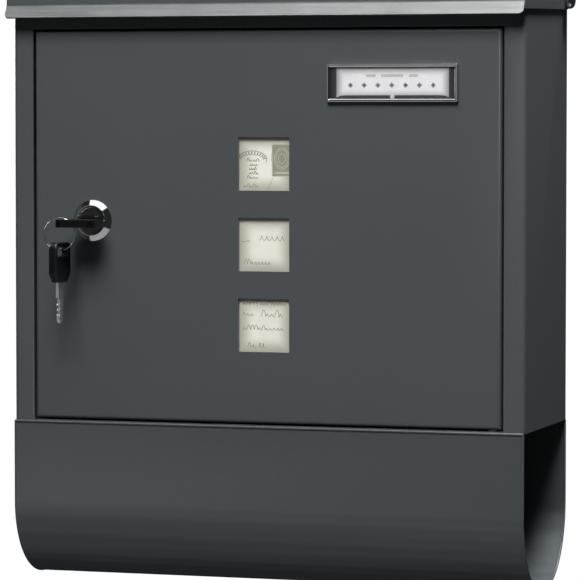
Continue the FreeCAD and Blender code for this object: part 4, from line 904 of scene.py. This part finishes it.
def printed_bar(name, x, z, width, height):
    left, right, low, high = x - width / 2, x + width / 2, z - height / 2, z + height / 2
    corners = [(a, y, b) for y in (print_y, print_y + PRINT_HEIGHT)
               for a, b in ((left, low), (right, low), (right, high), (left, high))]
    faces = [(0, 1, 2, 3), (7, 6, 5, 4), (0, 4, 5, 1), (1, 5, 6, 2), (2, 6, 7, 3), (3, 7, 4, 0)]
    return new_piece(name, corners, faces, pale_grey, crease=20)


heading = [printed_bar(f"bar_{i}", card_x + x * MM, card_z + 3.9 * MM, width * MM, 1.5 * MM)
           for i, (x, width) in enumerate(((-12.5, 5.6), (-0.2, 12.6), (12.0, 5.0)))]
fit(joined("card_heading_bars", heading), "door", "white_card")
lozenge = turned("lozenge", [(0, 0), (1.6 * MM, 0), (1.6 * MM, 0.02 * MM), (0.7 * MM, 0.02 * MM),
                             (0.7 * MM, 0.01 * MM), (0, 0.01 * MM)], print_grey, sides=4)
row_places = [(card_x + (step * 7.9 - 0.4) * MM, print_y + PRINT_HEIGHT, card_z - 1.4 * MM)
              for step in range(-3, 4)]
fit(repeated("card_row_of_lozenges", lozenge, row_places, FACE_FRONT, print_grey),
    "door", "white_card")

cover_low, cover_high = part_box("name_plate_cover")
dress("name_plate_cover", clear_plastic("clear_cover", 0.03, 0.05))
tab_white = moulded("frosted_tab", (0.62, 0.63, 0.64), 0.30, 0.00001)
tab_x = half_way(cover_low, cover_high)[0]
tab = turned("cover_tab", [(0, 0), (1.3 * MM, 0), (1.3 * MM, 0.5 * MM), (1.0 * MM, 0.8 * MM),
                           (0, 0.8 * MM)], tab_white, sides=24,
             place=pointing(tab_x, cover_low.y + 0.9 * MM, cover_low.z + 1.0 * MM, (0, -1, 0)))
fit(tab, "door", "clear_cover")


# --- Lock barrel and nut ---------------------------------------------------------------------
# Die cast, chrome plated barrel with a conical bezel, threaded behind the door and clamped there
# by a thin hexagon nut.

barrel_low, barrel_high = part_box("lock_barrel")
lock_x, _, lock_z = half_way(barrel_low, barrel_high)
INTO_BOX = (0, 1, 0)
door_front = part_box("door_panel")[0].y
bezel_r = (barrel_high.x - barrel_low.x) / 2
bezel_h = door_front - barrel_low.y
barrel_len = barrel_high.y - door_front
BORE_R, BARREL_R = 6.45 * MM, 9.5 * MM
DISH_R, DISH_FLOOR, LIP_R = 8.7 * MM, 0.6 * MM, 7.3 * MM
barrel = turned("barrel_with_bezel", [
    (BORE_R, -DISH_FLOOR), (DISH_R, -DISH_FLOOR), (DISH_R, -bezel_h + 0.75 * MM),
    (LIP_R, -bezel_h + 0.7 * MM), (LIP_R, -bezel_h + 0.45 * MM),
    (LIP_R + 0.15 * MM, -bezel_h + 0.25 * MM), (DISH_R - 0.3 * MM, -bezel_h), (DISH_R, -bezel_h),
    (bezel_r - 0.1 * MM, -0.35 * MM), (bezel_r, -0.1 * MM), (bezel_r, 0), (BARREL_R, 0)]
    + thread(BARREL_R, 1.2 * MM, barrel_len - 0.6 * MM, pitch=1.0 * MM, depth=0.35 * MM)
    + [(BARREL_R - 0.5 * MM, barrel_len), (BORE_R, barrel_len)],
    chrome, sides=96, place=pointing(lock_x, door_front, lock_z, INTO_BOX), crease=25)
fit(barrel, "door", "chrome", "lock_barrel")
lock_nut_low, lock_nut_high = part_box("lock_nut")
lock_nut = nut("lock_nut_hex", 24 * MM, lock_nut_high.y - lock_nut_low.y, BARREL_R, zinc)
lock_nut.data.transform(pointing(lock_x, lock_nut_low.y, lock_z, INTO_BOX))
fit(lock_nut, "door", "zinc_steel", "lock_nut")


# --- Lock plug, wafers and cam ---------------------------------------------------------------
# Plug in black chrome with brass wafers, and a pressed steel cam held on its square tail by a
# washer and screw.

dark_chrome = metal("black_chrome", (0.07, 0.07, 0.073), 0.10, 260, depth=0.0000005)
# Bright copy for the plug's eased edges: a painted highlight ring on the dark chrome.
dark_chrome_edge_highlight = metal("black_chrome_painted_edge_highlight", (0.55, 0.55, 0.56), 0.10, 260, depth=0.000002)
brass = metal("brass", (0.70, 0.52, 0.22), 0.30, 1500)
fit(finished("lock_plug", "plug_slotted", dark_chrome, dark_chrome_edge_highlight, 0.15 * MM),
    "plug", "dark_chrome", "lock_plug")
dress("lock_wafers", brass)
fit(finished("lock_cam", "cam_pressed", zinc, zinc, 0.2 * MM), "plug", "zinc_steel", "lock_cam")
dress("cam_washer", zinc)
cam_low, cam_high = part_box("cam_screw")
cam_head_r = (cam_high.x - cam_low.x) / 2
CAM_SCREW_R, CAM_HEAD_HEIGHT = 1.5 * MM, 2.2 * MM
cam_screw_end = cam_low.y - cam_high.y
cam_screw = turned("cam_screw_head", [
    (0, -1.2 * MM), ("hex", -1.2 * MM), ("hex", -0.05 * MM), (cam_head_r * 0.7, 0),
    (cam_head_r, -0.6 * MM), (cam_head_r, -CAM_HEAD_HEIGHT), (CAM_SCREW_R, -CAM_HEAD_HEIGHT)]
    + [(r, -z) for r, z in thread(CAM_SCREW_R, 3.2 * MM, 6.6 * MM)]
    + [(1.3 * MM, cam_screw_end), (0, cam_screw_end)],
    zinc, sides=36, flats=2.5 * MM, place=pointing(lock_x, cam_high.y, lock_z, INTO_BOX))
fit(cam_screw, "plug", "zinc_steel", "cam_screw")


# --- Keys and ring ---------------------------------------------------------------------------
# Nickel plated steel blades moulded into half-gloss black bows, one in the lock and the spare
# hanging on a split ring of two turns of flattened spring wire.

key_black = moulded("key_plastic", (0.004, 0.004, 0.0045), 0.20, 0.000006, shine=0.2)
# Lighter copy for the bows' eased edges: a painted highlight.
key_black_edge_highlight = moulded("key_plastic_painted_edge_highlight", (0.010, 0.010, 0.010), 0.18, 0.000004, shine=0.4)
nickel = metal("nickel_plate", (0.84, 0.83, 0.81), 0.20, 700, depth=0.0000005, bare=0.93)
for prefix, body in (("", "key"), ("spare_", "spare_key")):
    bow = finished(f"{prefix}key_bow", f"{prefix}bow_moulded", key_black, key_black_edge_highlight, 0.6 * MM,
                   segments=4)
    fit(bow, body, "key_plastic", f"{prefix}key_bow")
    blade = finished(f"{prefix}key_blade", f"{prefix}blade_milled", nickel, nickel, 0.15 * MM)
    fit(blade, body, "nickel_steel", f"{prefix}key_blade")


def split_ring():
    """A tree that sweeps a wire of rounded rectangular section along the turns of a coil."""
    tree, given, result = geometry_tree("split_ring", (
        ("Radius", "Float"), ("Turns", "Float"), ("Rise", "Float"), ("Wire Depth", "Float"),
        ("Wire Width", "Float"), ("Rounding", "Float"), ("Finish", "Material")), "Ring")
    spiral = add_node(tree, "GeometryNodeCurveSpiral", 200, 0)
    spiral.inputs["Resolution"].default_value = 72
    section = add_node(tree, "GeometryNodeCurvePrimitiveQuadrilateral", 200, -300)
    section.mode = "RECTANGLE"
    rounded = add_node(tree, "GeometryNodeFilletCurve", 300, -300, mode="POLY")
    rounded.inputs["Count"].default_value = 3
    sweep = add_node(tree, "GeometryNodeCurveToMesh", 400, 0)
    sweep.inputs["Fill Caps"].default_value = True
    real = add_node(tree, "GeometryNodeRealizeInstances", 600, 0)
    finish = add_node(tree, "GeometryNodeSetMaterial", 800, 0)
    for start, end in (
            (given.outputs["Radius"], spiral.inputs["Start Radius"]),
            (given.outputs["Radius"], spiral.inputs["End Radius"]),
            (given.outputs["Turns"], spiral.inputs["Rotations"]),
            (given.outputs["Rise"], spiral.inputs["Height"]),
            (given.outputs["Wire Depth"], section.inputs["Width"]),
            (given.outputs["Wire Width"], section.inputs["Height"]),
            (section.outputs["Curve"], rounded.inputs["Curve"]),
            (given.outputs["Rounding"], rounded.inputs["Radius"]),
            (spiral.outputs["Curve"], sweep.inputs["Curve"]),
            (rounded.outputs["Curve"], sweep.inputs["Profile Curve"]),
            (sweep.outputs["Mesh"], real.inputs["Geometry"]),
            (real.outputs["Geometry"], finish.inputs["Geometry"]),
            (given.outputs["Finish"], finish.inputs["Material"]),
            (finish.outputs["Geometry"], result.inputs["Ring"])):
        tree.links.new(start, end)
    return tree


ring_low, ring_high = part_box("key_ring")
WIRE_DEPTH, WIRE_WIDTH = 0.52 * MM, 0.8 * MM
ring_nickel = metal("ring_nickel", (0.82, 0.81, 0.80), 0.16, 700, depth=0.0000005)
ring_x, _, ring_z = half_way(ring_low, ring_high)
ring = grown("split_ring_coiled", bpy.data.meshes.new("ring_start"), split_ring(), {
    "Radius": (ring_high.x - ring_low.x) / 2 - WIRE_WIDTH / 2, "Turns": 2.0,
    "Rise": ring_high.y - ring_low.y - WIRE_DEPTH, "Wire Depth": WIRE_DEPTH,
    "Wire Width": WIRE_WIDTH, "Rounding": 0.2 * MM, "Finish": ring_nickel})
ring.data.transform(pointing(ring_x, ring_low.y + WIRE_DEPTH / 2, ring_z, INTO_BOX))
ring.data.shade_smooth()
fit(ring, "ring", "nickel_steel", "key_ring")


# --- Stage -----------------------------------------------------------------------------------
# A pale paper floor that curves up into a wall all round and glows evenly. Soft boxes stand above
# the camera, overhead on both sides of the middle, and behind on the left; three dim cards, above,
# below and in front, give the chrome something to mirror.

def soft_box(name, place, aim, width, height, watts):
    light = in_scene(name, bpy.data.lights.new(name, "AREA"))
    light.data.shape = "RECTANGLE"
    light.data.size, light.data.size_y = width, height
    light.data.energy = watts
    light.location = place
    light.rotation_euler = (Vector(aim) - Vector(place)).to_track_quat("-Z", "Y").to_euler()
    light.visible_camera = False


FLOOR_Z = -0.75
STAGE_R, COVE_R, WALL_TOP = 6.0, 1.5, 6.0
stage_paper, tree, shader, place = new_material("stage_paper")
fibres = spread(tree, noise(tree, place, 3, y=300), 0, 1, y=300)
tree.links.new(blend_colours(tree, fibres, (0.86, 0.86, 0.86), (0.89, 0.89, 0.89)),
               shader.inputs["Base Color"])
shader.inputs["Roughness"].default_value = 0.85
shader.inputs["Emission Color"].default_value = (1, 1, 1, 1)
shader.inputs["Emission Strength"].default_value = 0.9
bowl = [(0, FLOOR_Z)]
bowl += [(STAGE_R - COVE_R * (1 - math.sin(math.radians(a))),
          FLOOR_Z + COVE_R * (1 - math.cos(math.radians(a)))) for a in range(0, 91, 10)]
bowl += [(STAGE_R, WALL_TOP), (0, WALL_TOP + 1.5)]
stage = turned("stage", bowl, stage_paper, sides=64)
stage.data.flip_normals()
for ray in ("diffuse", "glossy", "transmission", "shadow"):
    setattr(stage, f"visible_{ray}", False)

world = bpy.data.worlds.new("surround")
world.use_nodes = True
world.node_tree.nodes["Background"].inputs["Color"].default_value = (0.96, 0.98, 1, 1)
world.node_tree.nodes["Background"].inputs["Strength"].default_value = 0.02
bpy.context.scene.world = world
middle = (0, -0.10, -0.03)
soft_box("key_box", (0.25, -2.22, 2.09), middle, 1.2, 1.2, 106)
soft_box("overhead_box", (0.05, 0.12, 1.20), (0.05, 0.12, 0), 0.4, 0.5, 12)
soft_box("overhead_card", (0.05, -0.30, 1.25), (0.05, -0.30, 0), 1.6, 1.4, 9)
soft_box("right_box", (0.42, -0.10, 1.30), (0.15, -0.08, 0), 0.25, 0.3, 38)
soft_box("left_back_box", (-1.3, 1.0, 0.5), middle, 0.8, 0.8, 26)
soft_box("front_left_card", (-0.62, -2.1, -0.16), middle, 1.2, 0.9, 0.72)
soft_box("low_card", (0.4, -0.7, -1.2), (0.4, -0.7, 0), 2.2, 1.6, 3.8)
bpy.context.scene.view_settings.view_transform = "Standard"
